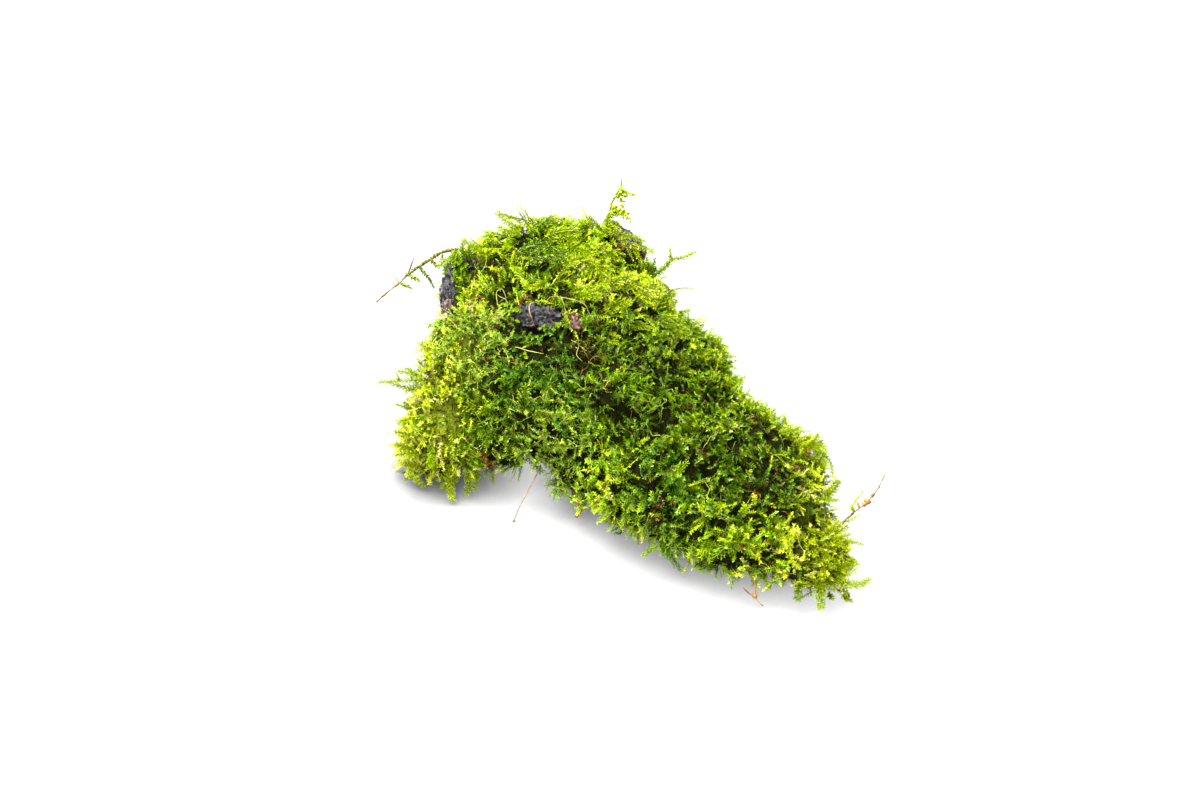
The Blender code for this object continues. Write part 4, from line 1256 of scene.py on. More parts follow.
lobes = [
    # points, tone and length of their branchlets
    ([(-59.0, 10.0, 21.9), (-61.5, 9.6, 21.5), (-63.5, 9.1, 20.9)], 0.9, 1.0),
    ([(-58.6, 8.6, 20.4), (-61.0, 8.0, 20.0), (-62.6, 7.2, 19.4)], 0.9, 1.0),
    ([(-59.0, 11.9, 24.3), (-61.3, 12.8, 25.3), (-63.2, 13.4, 26.0)], 0.82, 0.5),
    ([(-62.2, 10.4, 21.2), (-64.7, 10.8, 21.6), (-67.2, 11.3, 22.2)], 0.88, 0.8),
    ([(-61.7, 14.4, 22.9), (-63.7, 14.8, 23.4), (-65.6, 14.9, 23.6)], 0.86, 0.6),
    ([(-62.1, 6.5, 16.8), (-64.0, 6.3, 18.1), (-65.9, 5.9, 19.2)], 0.84, 0.3),
    ([(-62.1, 6.3, 18.1), (-62.9, 6.4, 19.0), (-63.8, 6.3, 19.7)], 0.84, 0.3),
    ([(-62.4, -1.7, 19.9), (-63.8, -2.4, 19.9), (-64.8, -3.1, 19.8)], 0.86, 0.5),
    ([(-61.6, -7.3, 19.2), (-63.7, -7.7, 20.3), (-65.4, -8.2, 21.2)], 0.92, 1.0),
    ([(-61.4, -8.9, 15.7), (-63.5, -9.2, 16.8), (-65.6, -9.4, 18.1)], 0.92, 1.1),
    ([(-60.8, -10.0, 15.0), (-63.2, -11.0, 15.5), (-65.2, -11.9, 15.9)], 0.9, 0.5),
    ([(-60.3, -8.9, 9.3), (-61.9, -8.9, 10.0), (-63.8, -9.0, 10.7)], 0.9, 1.3),
    ([(-55.3, -9.7, 15.8), (-55.2, -11.7, 14.3), (-55.0, -13.5, 12.8)], 0.76, 0.8),
    ([(-50.5, -7.9, 5.6), (-51.9, -6.6, 6.5), (-53.6, -5.2, 7.4)], 0.86, 0.7),
    ([(-50.5, -8.2, 5.0), (-52.5, -7.9, 4.0), (-54.4, -8.0, 3.0)], 0.88, 0.7),
    ([(-50.2, -9.6, 4.0), (-51.7, -9.7, 3.0), (-53.1, -9.9, 2.0)], 0.88, 0.6),
    ([(-44.7, -9.4, 5.5), (-43.3, -8.4, 5.0), (-42.1, -7.2, 4.5)], 0.86, 0.6),
    ([(-43.3, -8.0, 7.0), (-43.0, -10.7, 5.8), (-43.7, -13.9, 4.5)], 0.86, 0.6),
    ([(-36.6, -6.7, 12.5), (-33.8, -8.6, 11.2), (-31.3, -10.1, 10.0)], 0.84, 1.0),
    ([(1.0, -34.0, 8.4), (-2.5, -33.3, 9.2), (-6.0, -32.2, 10.1), (-9.4, -32.3, 10.9)], 0.9, 1.0),
    ([(-6.8, -30.8, 12.0), (-9.5, -28.5, 11.8), (-12.0, -26.7, 11.6)], 0.84, 1.0),
    ([(4.9, -42.6, 9.4), (3.5, -43.0, 8.7), (2.3, -43.6, 8.0)], 0.78, 0.5),
    ([(8.1, -40.7, 8.0), (9.2, -42.6, 7.2), (10.0, -43.6, 6.4)], 0.7, 0.7),
    ([(14.5, -40.9, 10.0), (15.0, -42.9, 8.2), (15.6, -44.5, 6.5)], 0.9, 1.0),
    ([(16.1, -41.6, 10.0), (16.9, -43.4, 8.4), (17.7, -44.5, 6.8)], 0.9, 1.0),
    ([(19.3, -43.8, 8.0), (20.0, -45.5, 7.0), (20.8, -46.7, 6.0)], 0.8, 0.7),
    ([(23.5, -46.1, 8.0), (24.0, -47.8, 7.0), (24.5, -48.6, 6.0)], 0.84, 0.7),
    ([(30.5, -45.2, 6.0), (31.5, -47.5, 4.5), (32.3, -49.4, 3.0)], 0.8, 0.8),
    ([(34.0, -48.9, 7.0), (35.0, -51.0, 5.7), (36.1, -53.1, 4.4)], 0.84, 0.8),
    ([(38.3, -48.2, 7.0), (39.3, -50.1, 5.9), (40.1, -51.6, 4.8)], 0.84, 0.8),
    ([(41.0, -49.0, 18.7), (40.7, -51.3, 16.5), (42.0, -53.6, 14.3), (43.8, -54.6, 13.6)], 0.92, 0.7),
    ([(49.8, -54.6, 8.0), (51.4, -55.0, 7.5), (52.9, -55.6, 7.0)], 0.9, 0.9),
    ([(51.0, -47.0, 14.6), (54.4, -47.4, 15.7), (57.7, -47.6, 17.0)], 0.86, 1.0),
    ([(51.1, -45.0, 14.5), (54.2, -45.2, 15.8), (57.3, -45.3, 17.3)], 0.86, 1.0),
    ([(53.0, -42.0, 13.6), (55.0, -41.7, 15.5), (56.8, -41.6, 17.1)], 0.86, 1.0),
    ([(54.9, -51.5, 11.3), (56.4, -51.1, 12.6), (57.7, -50.7, 13.8)], 0.84, 0.4),
    ([(55.7, -51.4, 11.5), (57.5, -51.1, 12.5), (59.2, -51.8, 12.6)], 0.84, 0.4),
    ([(52.3, -31.4, 18.7), (53.8, -31.1, 20.6), (55.2, -30.5, 22.9)], 0.9, 0.8),
    ([(52.3, -30.7, 19.6), (53.5, -30.3, 21.7), (54.5, -30.2, 23.4)], 0.9, 0.8),
    ([(51.3, -33.6, 19.1), (52.9, -34.0, 19.4), (54.6, -34.4, 19.6)], 0.78, 0.2),
    ([(-47.8, 49.6, 36.5), (-48.0, 49.8, 39.6), (-48.2, 50.0, 42.9)], 0.76, 1.2),
    ([(-46.4, 50.0, 37.0), (-46.2, 50.4, 39.4), (-45.4, 51.0, 41.4)], 0.72, 1.0),
    ([(-49.2, 48.6, 36.0), (-49.8, 48.2, 38.8), (-50.2, 48.0, 40.6)], 0.76, 1.0),
    ([(-49.3, 46.0, 32.9), (-49.8, 46.0, 35.4), (-50.1, 46.0, 38.0)], 0.72, 1.0),
    ([(49.7, -47.3, 14.9), (50.5, -50.9, 14.9), (51.8, -52.6, 12.0)], 0.86, 0.8),
    ([(47.5, -50.5, 15.0), (49.2, -53.4, 12.6), (50.0, -54.8, 10.0)], 0.84, 0.8),
    ([(50.8, -20.0, 23.7), (52.7, -21.5, 22.5), (53.4, -22.9, 21.2), (53.6, -24.6, 19.7)], 0.76, 0.3),
    ([(41.4, -16.7, 28.7), (43.5, -16.7, 29.4), (45.2, -16.7, 30.2)], 0.84, 0.5),
    ([(47.2, -19.7, 26.0), (48.8, -19.5, 27.9), (49.8, -19.1, 29.9)], 0.88, 0.9),
    ([(47.5, -19.9, 25.8), (49.6, -20.7, 26.4), (51.7, -21.3, 27.2)], 0.88, 0.9),
    ([(47.2, -19.7, 26.0), (49.3, -20.1, 27.1), (51.1, -20.2, 28.5)], 0.9, 0.9),
    ([(-32.9, 53.0, 45.6), (-35.7, 53.9, 46.7), (-38.3, 55.1, 48.1)], 0.86, 0.8),
    ([(-33.4, 50.6, 45.0), (-36.0, 51.1, 45.6), (-37.7, 51.9, 46.5)], 0.84, 0.9),
    ([(-43.4, 44.3, 43.7), (-46.3, 45.4, 45.0), (-47.7, 46.3, 46.1)], 0.84, 0.8),
    ([(-51.3, 42.0, 42.6), (-53.3, 41.3, 41.7), (-55.0, 40.2, 40.4)], 0.8, 0.8),
    ([(-51.3, 42.1, 41.1), (-52.5, 41.0, 39.8), (-53.0, 39.8, 38.3)], 0.6, 0.8),
    ([(2.3, 47.4, 42.4), (4.6, 46.6, 42.3), (6.3, 45.7, 41.9)], 0.84, 0.7),
    ([(-0.5, 50.1, 44.3), (1.8, 49.3, 44.1), (3.8, 48.2, 43.6)], 0.84, 0.7),
    ([(-7.3, 56.0, 43.5), (-6.7, 56.9, 45.3), (-6.4, 57.7, 47.1)], 0.84, 0.9),
    ([(26.5, 3.0, 29.5), (28.5, 3.6, 30.2), (30.2, 3.6, 29.6)], 0.8, 1.0),
    ([(51.8, -41.4, 14.6), (53.4, -40.6, 16.0), (54.6, -39.8, 17.2)], 0.84, 0.6),
    ([(-28.0, -8.5, 11.0), (-26.4, -10.0, 9.8), (-24.6, -11.2, 8.8)], 0.6, 1.0),
    ([(-24.0, -9.0, 11.0), (-22.0, -10.4, 9.6), (-20.4, -11.6, 8.4)], 0.55, 1.0),
    ([(-20.6, -12.0, 10.0), (-18.8, -13.4, 8.6), (-17.6, -14.8, 7.4)], 0.6, 0.9),
    ([(-10.1, 55.1, 44.8), (-11.3, 55.4, 46.0), (-12.4, 55.8, 47.1)], 0.84, 0.8),
]
stemLeaves = [
    # points and tone of the leafy twigs on the dry stem
    ([(58.8, -36.4, 17.3), (58.0, -36.8, 19.2), (59.2, -36.0, 21.2), (60.8, -35.2, 23.2)], 0.8),
    ([(56.0, -38.8, 15.8), (58.2, -38.2, 16.2), (60.0, -37.6, 17.2)], 0.84),
]
usualSprig = {"size": 0.8, "lean": (-0.15, -0.5, 1)}
barkMoss = [
    # sprigs that are dropped on a flake or the mat: where along X and Y, how many, and the age and painted
    # shade of their tips
    {"on": "bark_left", "x": (-50.2, -47.2), "y": (43, 49.5), "count": 34,
     "tone": 0.7, "height": 4.2, "tip": 0.74},
    {"on": "bark_left", "x": (-49.8, -44.6), "y": (37, 48.6), "count": 100,
     "tone": 0.38, "height": 3.4, "tip": 0.5},
    {"on": "bark_centre", "x": (-32.6, -30.8), "y": (12, 22), "count": 10,
     "tone": 0.7, "height": 3.0, "tip": 0.8},
    {"on": "bark_centre", "x": (-25.6, -18.8), "y": (12, 13.8), "count": 16,
     "tone": 0.7, "height": 2.6, "tip": 0.8},
    {"on": "bark_centre", "x": (-24, -18.8), "y": (19.4, 22), "count": 10,
     "tone": 0.72, "height": 2.6, "tip": 0.8},
    {"on": "bark_right", "x": (-8.6, -3.2), "y": (54, 64), "count": 34,
     "tone": 0.66, "height": 3.2, "tip": 0.7},
    {"on": "moss_mat", "x": (44, 57), "y": (-55, -43), "count": 70,
     "tone": 0.84, "height": 3.6, "tip": 0.78, "size": 1.2, "lean": (0.4, -0.7, 0.3)},
]
lobeFoot = 2.5             # length of a lobe inside the mat
above = 60                 # height that the sprigs are dropped from


def combParts(line, reach, tone):
    path = smoothPath(line, 6)
    parts = [tubePart(path, combShape["radii"], 3, 0, (tone, tone), 0.6)]
    length = sum((b - a).length for a, b in zip(path, path[1:]))
    count = round(length / combShape["spacing"])
    for number in range(count):
        share = (number + 0.5) / count
        point, along = alongPath(path, share)
        out = matTree.find_nearest(point * mm)[1]
        aside = out.cross(along).normalized()
        side = 1 if number % 2 else -1
        tooth = reach[0] if side == 1 else reach[1]
        # The teeth are longest in the middle of the comb.
        tooth *= 0.45 + 0.66 * math.sin(math.pi * min(1, 0.12 + share)) ** 0.8
        tooth *= random.uniform(0.8, 1.15)
        way = aside * side + along * combShape["ahead"] + out * random.uniform(0, 0.3)
        sag = -out * combShape["droop"] - aside * side * combShape["backwards"]
        twig = curvedPath(point, way, tooth, sag, 4, 0.12)
        shift = tone + random.uniform(-0.06, 0.06)
        parts.append(leafyPart(twig, combLeaf, (0.36, 0.76), (shift, shift)))
    return parts


def lobeParts(line, tone, reach):
    line = [Vector(point) for point in line]
    line.insert(0, line[0] + (line[0] - line[1]).normalized() * lobeFoot)
    return plumeParts(smoothPath(line), sprigLeaf, (0.52, 0.72), (tone - 0.05, tone - 0.02), reach)


def sprigParts(sprigs):
    parts = []
    tree = treeOf(sprigs["on"])
    for _ in range(sprigs["count"]):
        start = Vector((random.uniform(*sprigs["x"]), random.uniform(*sprigs["y"]), above)) * mm
        foot = tree.ray_cast(start, Vector((0, 0, -1)))[0]
        if foot is None:
            continue
        way = Vector(sprigs["lean"]) + Vector((random.uniform(-0.45, 0.45), random.uniform(-0.6, 0.6), 0))
        height = sprigs["height"] * random.uniform(0.8, 1.2)
        path = curvedPath(foot / mm - way.normalized(), way, height, (0, -0.5, -0.3), 4, 0.15)
        shift = sprigs["tone"] + random.uniform(-0.06, 0.06)
        parts.append(leafyPart(path, scaledLeaf(sprigLeaf, sprigs["size"]), (0.15, sprigs["tip"]),
                               (shift, shift)))
    return parts


def sprayMesh():
    parts = []
    for line, reach, tone in combs:
        parts += combParts(line, reach, tone)
    for line, tone, reach in lobes:
        parts += lobeParts(line, tone, reach)
    for line, tone in stemLeaves:
        parts.append(leafyPart(smoothPath(line), sprigLeaf, (0.66, 0.82), (tone, tone)))
    for sprigs in barkMoss:
        parts += sprigParts({**usualSprig, **sprigs})
    return joinedMesh("moss_sprays", parts)


mesh = sprayMesh()
newPiece("moss_sprays", mesh, leafSurface, ["moss_mat"])
print("moss_sprays has", len(mesh.polygons), "triangles")


# Dead stems, roots and a grass stalk, coloured from the foot to the tip

dryStems = {
    "dry_stem_right": {
        "slot": "dry_stem", "radii": (0.46, 0.14), "knobs": 1.4,
        "stem": [(51.5, -42.6, 13.6), (54.9, -39.8, 15.4), (57.0, -38.0, 16.6), (60.2, -35.4, 17.6),
                 (62.6, -33.3, 18.3), (64.4, -31.2, 19.2), (66.0, -29.0, 20.2), (67.8, -25.6, 22.2)],
        "branches": [(3, [(59.6, -34.4, 19.2)]), (4, [(64.6, -33.4, 17.8)])],
        "beads": [(62.4, -33.4, 18.2, 0.95, 0.58), (61.6, -34.0, 17.7, 0.7, 0.54),
                  (62.8, -33.0, 17.6, 0.7, 0.6)],
        "colours": {0: (70, 60, 12), 0.25: (104, 82, 24), 0.42: (156, 118, 44), 0.6: (162, 110, 22),
                    0.74: (128, 116, 50), 1: (150, 150, 104)},
    },
    "dry_stem_front": {
        "slot": "dry_stem", "radii": (0.4, 0.15), "knobs": 1.2,
        "stem": [(30.2, -47.5, 6.6), (32.0, -51.2, 6.2), (32.1, -53.2, 4.8), (32.1, -54.8, 3.6),
                 (32.9, -55.8, 2.8), (34.1, -56.7, 2.0)],
        "branches": [(3, [(30.4, -53.8, 3.9), (29.0, -52.0, 4.2)])],
        "beads": [(32.0, -54.6, 3.7, 0.75, 0.6)],
        "colours": {0: (120, 80, 28), 0.4: (176, 134, 56), 1: (168, 118, 46)},
    },
    "dry_curl": {
        "slot": "dry_stem", "radii": (0.52, 0.4), "knobs": 0.5,
        "stem": [(-14.6, -13.0, 8.8), (-16.2, -17.0, 7.2), (-15.4, -19.4, 5.8), (-14.0, -20.8, 4.4),
                 (-15.6, -22.8, 2.8)],
        "branches": [],
        "colours": {0: (120, 70, 26), 0.5: (168, 92, 30), 1: (196, 120, 50)},
    },
    "grass_stalk": {
        "slot": "straw", "radii": (0.22, 0.13), "knobs": 0.2,
        "stem": [(-24.6, -5.4, 12.4), (-25.4, -9.0, 9.6), (-26.6, -11.2, 7.8), (-28.6, -14.6, 5.6),
                 (-30.9, -18.4, 3.4), (-32.6, -22.6, 1.3)],
        "branches": [],
        "beads": [(-32.6, -22.6, 1.3, 0.42, 1.0)],
        "colours": {0: (196, 168, 104), 0.6: (206, 176, 138), 0.9: (200, 178, 150), 1: (110, 106, 80)},
    },
    "root_over_bark": {
        "slot": "straw", "radii": (0.14, 0.09), "knobs": 0.4,
        "stem": [(-25.6, 21.6, 41.6), (-26.8, 20.6, 43.4), (-28.2, 18.4, 44.6), (-28.4, 15.8, 44.3),
                 (-27.6, 13.8, 43.0), (-26.8, 12.8, 41.0)],
        "branches": [],
        "colours": {0: (110, 84, 40), 0.4: (176, 146, 90), 1: (120, 90, 48)},
    },
    "root_beside_bark": {
        "slot": "straw", "radii": (0.15, 0.1), "knobs": 0.4,
        "stem": [(-24.4, 21.8, 41.6), (-22.6, 22.6, 43.8), (-19.6, 21.4, 44.6), (-16.2, 19.4, 45.2),
                 (-13.4, 18.2, 44.8), (-12.2, 15.8, 43.6), (-12.4, 13.4, 40.6)],
        "branches": [(2, [(-19.0, 18.0, 45.0), (-18.3, 14.4, 43.6), (-18.6, 12.4, 41.4)])],
        "colours": {0: (110, 92, 36), 0.5: (150, 136, 60), 1: (110, 106, 34)},
    },
}


def fibreGroup():
    # Fine fibres and blotches that several of the dead things share.
    group = bpy.data.node_groups.new("fibres", "ShaderNodeTree")
    for name, kind in (("Fine size", "NodeSocketFloat"), ("Blotch size", "NodeSocketFloat")):
        group.interface.new_socket(name, in_out="INPUT", socket_type=kind)
    for name in ("Fibres", "Blotches"):
        group.interface.new_socket(name, in_out="OUTPUT", socket_type="NodeSocketFloat")
    start = group.nodes.new("NodeGroupInput")
    end = group.nodes.new("NodeGroupOutput")
    place = group.nodes.new("ShaderNodeTexCoord")
    for name, detail in (("Fibres", 4), ("Blotches", 2)):
        cloud = group.nodes.new("ShaderNodeTexNoise")
        cloud.inputs["Detail"].default_value = detail
        group.links.new(place.outputs["Object"], cloud.inputs["Vector"])
        source = "Fine size" if name == "Fibres" else "Blotch size"
        group.links.new(start.outputs[source], cloud.inputs["Scale"])
        group.links.new(cloud.outputs["Fac"], end.inputs[name])
    return group


fibres = fibreGroup()


def addFibres(tree, fine, blotch):
    node = tree.nodes.new("ShaderNodeGroup")
    node.node_tree = fibres
    node.inputs["Fine size"].default_value = fine
    node.inputs["Blotch size"].default_value = blotch
    return node.outputs["Fibres"], node.outputs["Blotches"]


def readAttribute(tree, name):
    node = tree.nodes.new("ShaderNodeAttribute")
    node.attribute_name = name
    return node.outputs["Fac"]


dryLook = {"grain": 1600, "blotches": 420, "roughness": 0.6}


def dryMaterial(name, stops):
    material, tree, surface = newMaterial(name)
    fine, blotch = addFibres(tree, dryLook["grain"], dryLook["blotches"])
    colour = ramp(tree, stops, readAttribute(tree, "along"))
    worn = ramp(tree, {0.3: (110, 92, 74), 0.6: (204, 198, 190)}, blotch)
    colour = mixColours(tree, "MULTIPLY", 1.0, colour, worn)
    tree.links.new(colour, surface.inputs["Base Color"])
    surface.inputs["Roughness"].default_value = dryLook["roughness"]
    addBump(tree, surface, fine, 0.5, 0.15)
    return material


def stemMesh(name, stem):
    bm = bmesh.new()
    along = bm.verts.layers.float.new("along")
    lines = [(smoothPath(stem["stem"], 5), stem["radii"], (0, 1))]
    last = len(stem["stem"]) - 1
    for index, points in stem["branches"]:
        branch = smoothPath([stem["stem"][index]] + points, 4)
        start = index / last
        lines.append((branch, (stem["radii"][0] * 0.5, stem["radii"][1]), (start, start + 0.2)))
    for line, radii, shares in lines:
        for ring, share in addTube(bm, line, radii, 8, stem["knobs"]):
            for vert in ring:
                vert[along] = shares[0] + (shares[1] - shares[0]) * share
    for x, y, z, radius, share in stem.get("beads", []):
        bead = bmesh.ops.create_icosphere(bm, subdivisions=2, radius=radius)["verts"]
        bmesh.ops.translate(bm, vec=(x, y, z), verts=bead)
        for vert in bead:
            vert[along] = share
    bmesh.ops.scale(bm, vec=(mm, mm, mm), verts=bm.verts)
    bmesh.ops.recalc_face_normals(bm, faces=bm.faces)
    mesh = bpy.data.meshes.new(name)
    bm.to_mesh(mesh)
    bm.free()
    mesh.shade_smooth()
    return mesh


for name, stem in dryStems.items():
    surface = dryMaterial(name.replace("_", " "), stem["colours"])
    newPiece(f"{name}_detailed", stemMesh(name, stem), surface, [name])
print("dead stems and roots set")


# Bark flakes and the dead leaf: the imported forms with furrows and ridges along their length

flakes = {
    # turn: of the flake's length; relief: height of the ridges; plates: their size; red: share of inner
    # bark; pale: places and reach of pale pink crumbs; shade: a factor on the flake's colour, partly its own
    # darkness and partly painted shade where the lamps light it strongly
    "bark_left": {"at": (-47.4, 43.2, 33.5), "turn": (8, -24, 82),
                  "relief": 1.8, "plates": 1.9, "red": 0.15,
                  "pale": [(-43.4, 51, 36.5, 2.4)]},
    "bark_centre": {"at": (-26, 16.4, 42.2), "turn": (18, 2, -16),
                    "relief": 2.2, "plates": 1.5, "red": 0.36, "shade": 0.27,
                    "pale": [(-24, 13, 41.2, 1.5), (-21.6, 13.6, 42, 1.4), (-19.6, 13.4, 41, 1.6),
                             (-20.6, 16.4, 43, 1.2)]},
    "bark_right": {"at": (-1.6, 59, 38), "turn": (-12, 10, -45),
                   "relief": 1.8, "plates": 1.7, "red": 0.4,
                   "pale": [(-2, 58.5, 39, 2.0), (-8.4, 62.6, 38.4, 1.6)]},
    "bark_chip": {"at": (-15.2, 12.2, 43.4), "turn": (0, 14, -72),
                  "relief": 1.5, "plates": 0.9, "red": 1.0,
                  "pale": [(-14.8, 10.6, 42.2, 1.1), (-16.4, 13.6, 43.6, 1.0)]},
    "dead_leaf": {"at": (-51.5, 30.5, 33), "turn": (20, -50, 70),
                  "relief": 0.8, "plates": 1.8, "red": 1.0, "voxel": 0.3,
                  "pale": [(-53.2, 29.4, 31, 1.8)]},
}


barkLook = {"voxel": 0.42, "grain": 2200, "blotches": 260, "roughness": 0.42, "gloss": 0.18}


def flakeMesh(name, flake):
    bm = mergedCopy(name)
    rough = bpy.data.meshes.new(name)
    bm.to_mesh(rough)
    bm.free()
    obj = bpy.data.objects.new(name, rough)
    bpy.context.scene.collection.objects.link(obj)
    whole = obj.modifiers.new("whole", "REMESH")
    whole.mode = "VOXEL"
    whole.voxel_size = flake.get("voxel", barkLook["voxel"]) * mm
    even = obj.modifiers.new("even", "SMOOTH")
    even.factor = 0.5
    even.iterations = 4
    mesh = evaluatedMesh(obj)
    bm = bmesh.new()
    bm.from_mesh(mesh)
    ridge = bm.verts.layers.float.new("ridge")
    pale = bm.verts.layers.float.new("pale")
    back = Euler([math.radians(angle) for angle in flake["turn"]]).to_matrix().inverted()
    moves = []
    for vert in bm.verts:
        spot = back @ (vert.co / mm - Vector(flake["at"]))
        drawn = Vector((spot.x * 0.45, spot.y, spot.z)) / flake["plates"]
        near = noise.voronoi(drawn + 0.3 * noise.noise_vector(drawn * 2))[0]
        crack = min(1, (near[1] - near[0]) * 2.4)
        rib = 1 - 2.2 * abs(noise.noise(Vector((spot.x * 0.5, spot.y * 1.6, spot.z * 1.6))))
        # The plates between the cracks, ribs along the flake, and grain.
        height = 0.55 * crack + 0.3 * rib + 0.25 * noise.noise(spot * 2.4)
        vert[ridge] = max(0, min(1, height))
        nearest = max(1 - (vert.co / mm - Vector(place)).length / reach for *place, reach in flake["pale"])
        vert[pale] = 1 if nearest + 0.7 * noise.noise(spot * 1.7) > 0.3 else 0
        moves.append(vert.normal * (height - 0.45) * flake["relief"] * mm)
    for vert, move in zip(bm.verts, moves):
        vert.co += move
    bm.to_mesh(mesh)
    bm.free()
    mesh.shade_smooth()
    return mesh


def barkMaterial(name, red, shade):
    # Near-black furrows, grey-mauve ridges, and red-brown inner bark in places.
    material, tree, surface = newMaterial(name)
    fine, blotch = addFibres(tree, barkLook["grain"], barkLook["blotches"])
    height = readAttribute(tree, "ridge")
    grey = ramp(tree, {0.15: (3, 2, 3), 0.5: (15, 12, 15), 0.72: (50, 43, 51), 0.9: (138, 130, 146)},
                height)
    inner = ramp(tree, {0.15: (16, 7, 4), 0.5: (62, 32, 20), 0.75: (118, 72, 50), 0.98: (190, 140, 112)},
                 height)
    where = tree.nodes.new("ShaderNodeMapRange")
    where.inputs["From Min"].default_value = 0.72 - 0.5 * red
    where.inputs["From Max"].default_value = 0.8 - 0.5 * red
    tree.links.new(blotch, where.inputs["Value"])
    colour = mixColours(tree, "MIX", where.outputs["Result"], grey, inner)
    crumbs = ramp(tree, {0.2: (50, 32, 20), 0.6: (122, 88, 64), 0.95: (180, 146, 118)}, height)
    colour = mixColours(tree, "MIX", readAttribute(tree, "pale"), colour, crumbs)
    # The flake's shade darkens all of it: partly its own dark colour, partly painted shade.
    colour = mixColours(tree, "MULTIPLY", 1.0, colour, (shade, shade, shade, 1))
    dust = ramp(tree, {0.35: (96, 92, 96), 0.62: (255, 255, 255)}, fine)
    colour = mixColours(tree, "MULTIPLY", 1.0, colour, dust)
    tree.links.new(colour, surface.inputs["Base Color"])
    surface.inputs["Roughness"].default_value = barkLook["roughness"]
    surface.inputs["Specular IOR Level"].default_value = barkLook["gloss"]
    addBump(tree, surface, fine, 0.8, 0.25)
    return material


scrapLook = {"grain": 2600, "blotches": 300, "roughness": 0.55, "pale": (160, 126, 94)}


def leafMaterial():
    # A dead leaf: dark brown in its folds, tan on its ribs.
    material, tree, surface = newMaterial("dead leaf")
    fine, blotch = addFibres(tree, scrapLook["grain"], scrapLook["blotches"])
    colour = ramp(tree, {0.1: (14, 6, 2), 0.45: (44, 21, 6), 0.7: (84, 45, 15), 0.95: (136, 90, 48)},
                  readAttribute(tree, "ridge"))
    colour = mixColours(tree, "MIX", readAttribute(tree, "pale"), colour, fromScreen(scrapLook["pale"]))
    shade = ramp(tree, {0.3: (120, 110, 100), 0.65: (255, 255, 255)}, blotch)
    colour = mixColours(tree, "MULTIPLY", 1.0, colour, shade)
    tree.links.new(colour, surface.inputs["Base Color"])
    surface.inputs["Roughness"].default_value = scrapLook["roughness"]
    addBump(tree, surface, fine, 0.5, 0.15)
    return material


for name, flake in flakes.items():
    if name == "dead_leaf":
        surface = leafMaterial()
    else:
        surface = barkMaterial(name.replace("_", " "), flake["red"], flake.get("shade", 1))
    mesh = flakeMesh(name, flake)
    newPiece(f"{name}_detailed", mesh, surface, [name])
    print(name, "has", len(mesh.polygons), "faces")


# Loose thin stems that lie over the mat

rootlets = {"count": 130, "steps": 9, "step": 1.1, "turn": 0.35, "lift": (0.2, 1.1), "radius": (0.08, 0.14),
            "drawnRadius": 0.09, "ageAndShade": 0.62, "tones": (0.06, 0.12, 0.2, 0.24, 0.5, 0.96)}
drawnRootlets = [
    # points and tone of the ones that have their own place
    ([(4.3, -37.0, 17.4), (3.6, -38.2, 15.8), (3.5, -39.6, 14.0), (4.2, -40.2, 10.6)], 0.97),
    ([(-38.6, -12.6, 17.6), (-37.9, -14.8, 18.4), (-37.0, -14.0, 16.4), (-36.6, -13.0, 14.8)], 0.98),
    ([(-46.8, -9.8, 21.1), (-45.4, -11.4, 20.6), (-44.2, -11.8, 19.2), (-41.8, -13.2, 18.8)], 0.97),
    ([(-45.4, -11.0, 16.6), (-43.0, -12.6, 16.2), (-41.4, -13.6, 17.2)], 0.96),
    ([(-61.5, -2.0, 20.2), (-59.2, -6.4, 20.2), (-56.9, -8.1, 18.2)], 0.93),
    ([(-58.1, 17.7, 33.2), (-58.7, 15.6, 30.6), (-58.3, 13.8, 28.5), (-57.0, 12.4, 27.2)], 0.06),
    ([(-42.2, 46.8, 41.4), (-43.3, 45.0, 40.2), (-44.0, 40.9, 39.6), (-44.5, 37.1, 38.6)], 0.14),
    ([(-41.0, 44.8, 41.2), (-41.6, 41.0, 40.0), (-43.4, 38.6, 39.4)], 0.96),
    ([(-58.4, -9.2, 2.0), (-56.7, -9.2, 1.6), (-54.6, -8.6, 1.4), (-53.2, -7.8, 1.2)], 0.72),
    ([(-47.0, 20.6, 39.6), (-45.2, 22.4, 40.0), (-42.4, 24.6, 39.4), (-40.6, 27.8, 39.2)], 0.14),
    ([(-37.6, 26.6, 38.0), (-38.0, 31.4, 38.6), (-36.4, 31.6, 39.6), (-35.2, 28.0, 39.4)], 0.97),
    ([(-32.3, 9.1, 36.9), (-30.8, 8.1, 37.3), (-28.6, 6.6, 37.6), (-24.4, 5.1, 37.8)], 0.99),
    ([(-43.1, -6.7, 27.2), (-41.4, -9.2, 25.6), (-39.4, -10.2, 23.0), (-36.3, -11.4, 22.6)], 0.5),
    ([(-54.6, 26.7, 34.8), (-50.9, 20.8, 37.4), (-47.5, 15.5, 37.4)], 0.96),
    ([(-16.8, 6.6, 41.4), (-14.8, 3.8, 41.8), (-15.4, 1.0, 40.8), (-13.8, -0.6, 39.8)], 0.97),
    ([(-12.4, 5.4, 41.6), (-13.4, 2.4, 41.4), (-12.0, -0.4, 40.4)], 0.12),
    ([(-37.9, 31.9, 37.5), (-36.8, 29.0, 38.8), (-35.2, 28.4, 38.2), (-34.8, 25.4, 37.6)], 0.97),
]


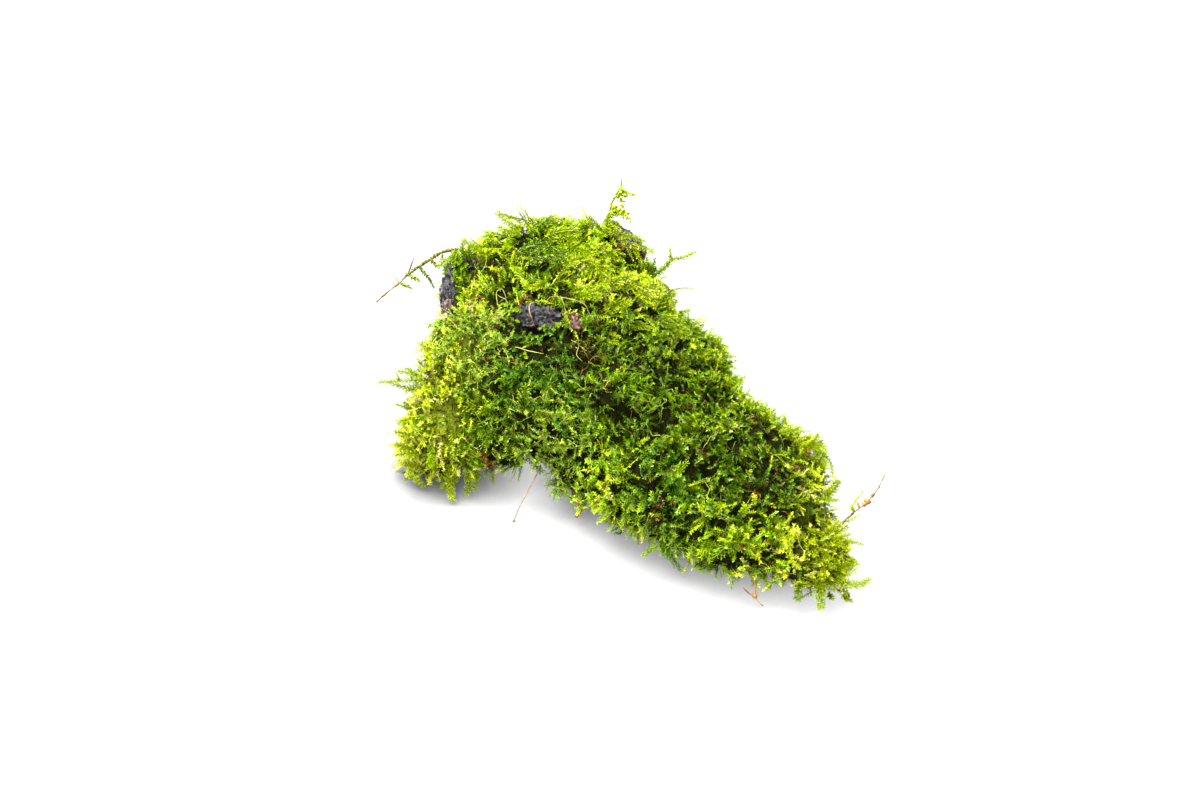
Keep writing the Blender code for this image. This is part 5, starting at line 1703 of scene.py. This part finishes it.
def rootletMesh():
    lines = [(smoothPath(points, 3), rootlets["drawnRadius"], tone) for points, tone in drawnRootlets]
    starts, normals = scatter(rootlets["count"] * 2)
    for start, normal in zip(starts, normals):
        if normal[2] < -0.2 or len(lines) >= rootlets["count"]:
            continue
        way = Vector(normal).cross(noise.random_unit_vector()).normalized()
        spot = Vector(start)
        points = []
        for _ in range(rootlets["steps"]):
            way = (way + noise.random_unit_vector() * rootlets["turn"]).normalized()
            spot = spot + way * rootlets["step"] * mm
            place, out = matTree.find_nearest(spot)[:2]
            way = (way - out * way.dot(out)).normalized()
            spot = place + out * random.uniform(*rootlets["lift"]) * mm
            points.append(spot / mm)
        if not coversBark([point * mm for point in points[::2]]):
            lines.append((points, random.uniform(*rootlets["radius"]), random.choice(rootlets["tones"])))
    parts = [tubePart(line, (radius, radius * 0.7), 4, 0.3, (tone, tone), rootlets["ageAndShade"])
             for line, radius, tone in lines]
    return joinedMesh("moss_rootlets", parts)


# Crumbs: small dead leaves and bits of bark that lie in the moss

crumbs = {
    "each": 3,             # scraps at each place, and how far apart they lie
    "apart": 0.6,
    "lengths": (0.9, 1.8),
    "sizes": (0.6, 1.1),
    "leaf": {"length": 1.2, "width": 0.46, "pitch": 0.22, "tilt": 50, "fold": 0.35, "curl": -0.3,
             "flat": 0.4, "taper": 0.2, "stem": 0.2, "stemSteps": 1},
    "bits": [
        # place and tone
        ((15.3, -11.2, 33.2), 0.04), ((18.5, -27.0, 31.0), 0.02), ((26.0, -22.6, 34.2), 0.97),
        ((33.3, -15.6, 31.3), 0.05), ((46.5, -21.8, 25.6), 0.13), ((27.9, -49.2, 17.0), 0.13),
        ((35.1, -52.2, 12.6), 0.04), ((-7.4, -30.6, 21.0), 0.14), ((-6.1, -32.4, 19.4), 0.97),
        ((-56.2, 9.0, 27.6), 0.02), ((-44.9, 28.8, 37.2), 0.98), ((-43.1, 28.2, 38.8), 0.13),
        ((-45.1, 21.4, 39.5), 0.98), ((-37.5, 17.7, 40.6), 0.98), ((-31.4, 27.1, 38.2), 0.12),
        ((-21.9, 5.8, 39.6), 0.04), ((-40.7, -13.0, 16.6), 0.12), ((-40.2, -13.2, 15.2), 0.14),
        ((-39.4, -14.4, 14.2), 0.06), ((32.7, -36.6, 24.6), 0.14), ((5.7, -37.4, 18.9), 0.02),
        ((7.0, -36.8, 20.1), 0.03), ((6.2, -38.4, 17.2), 0.03), ((-1.8, -28.0, 22.4), 0.06),
        ((-30.2, 22.8, 42.6), 0.14), ((-2.8, 44.6, 43.6), 0.12), ((44.0, -27.0, 25.0), 0.05),
    ],
}


def crumbMesh():
    parts = []
    for place, tone in crumbs["bits"]:
        for _ in range(crumbs["each"]):
            way = noise.random_unit_vector() + Vector((0, -0.6, 0.8))
            start = Vector(place) + noise.random_unit_vector() * crumbs["apart"]
            path = curvedPath(start, way, random.uniform(*crumbs["lengths"]), (0, 0, 0), 2, 0.5)
            leaf = scaledLeaf(crumbs["leaf"], random.uniform(*crumbs["sizes"]))
            parts.append(leafyPart(path, leaf, (0.5, 0.9), (tone, tone)))
    return joinedMesh("moss_crumbs", parts)


noise.seed_set(11)
mesh = rootletMesh()
newPiece("moss_rootlets", mesh, leafSurface, ["moss_mat"])
print("rootlets have", len(mesh.polygons), "triangles")
newPiece("moss_crumbs", crumbMesh(), leafSurface, ["moss_mat"])
total = sum(len(thing.data.loop_triangles) or len(thing.data.polygons) for thing in bpy.data.objects
            if thing.type == "MESH")
print("about", total, "faces in all")
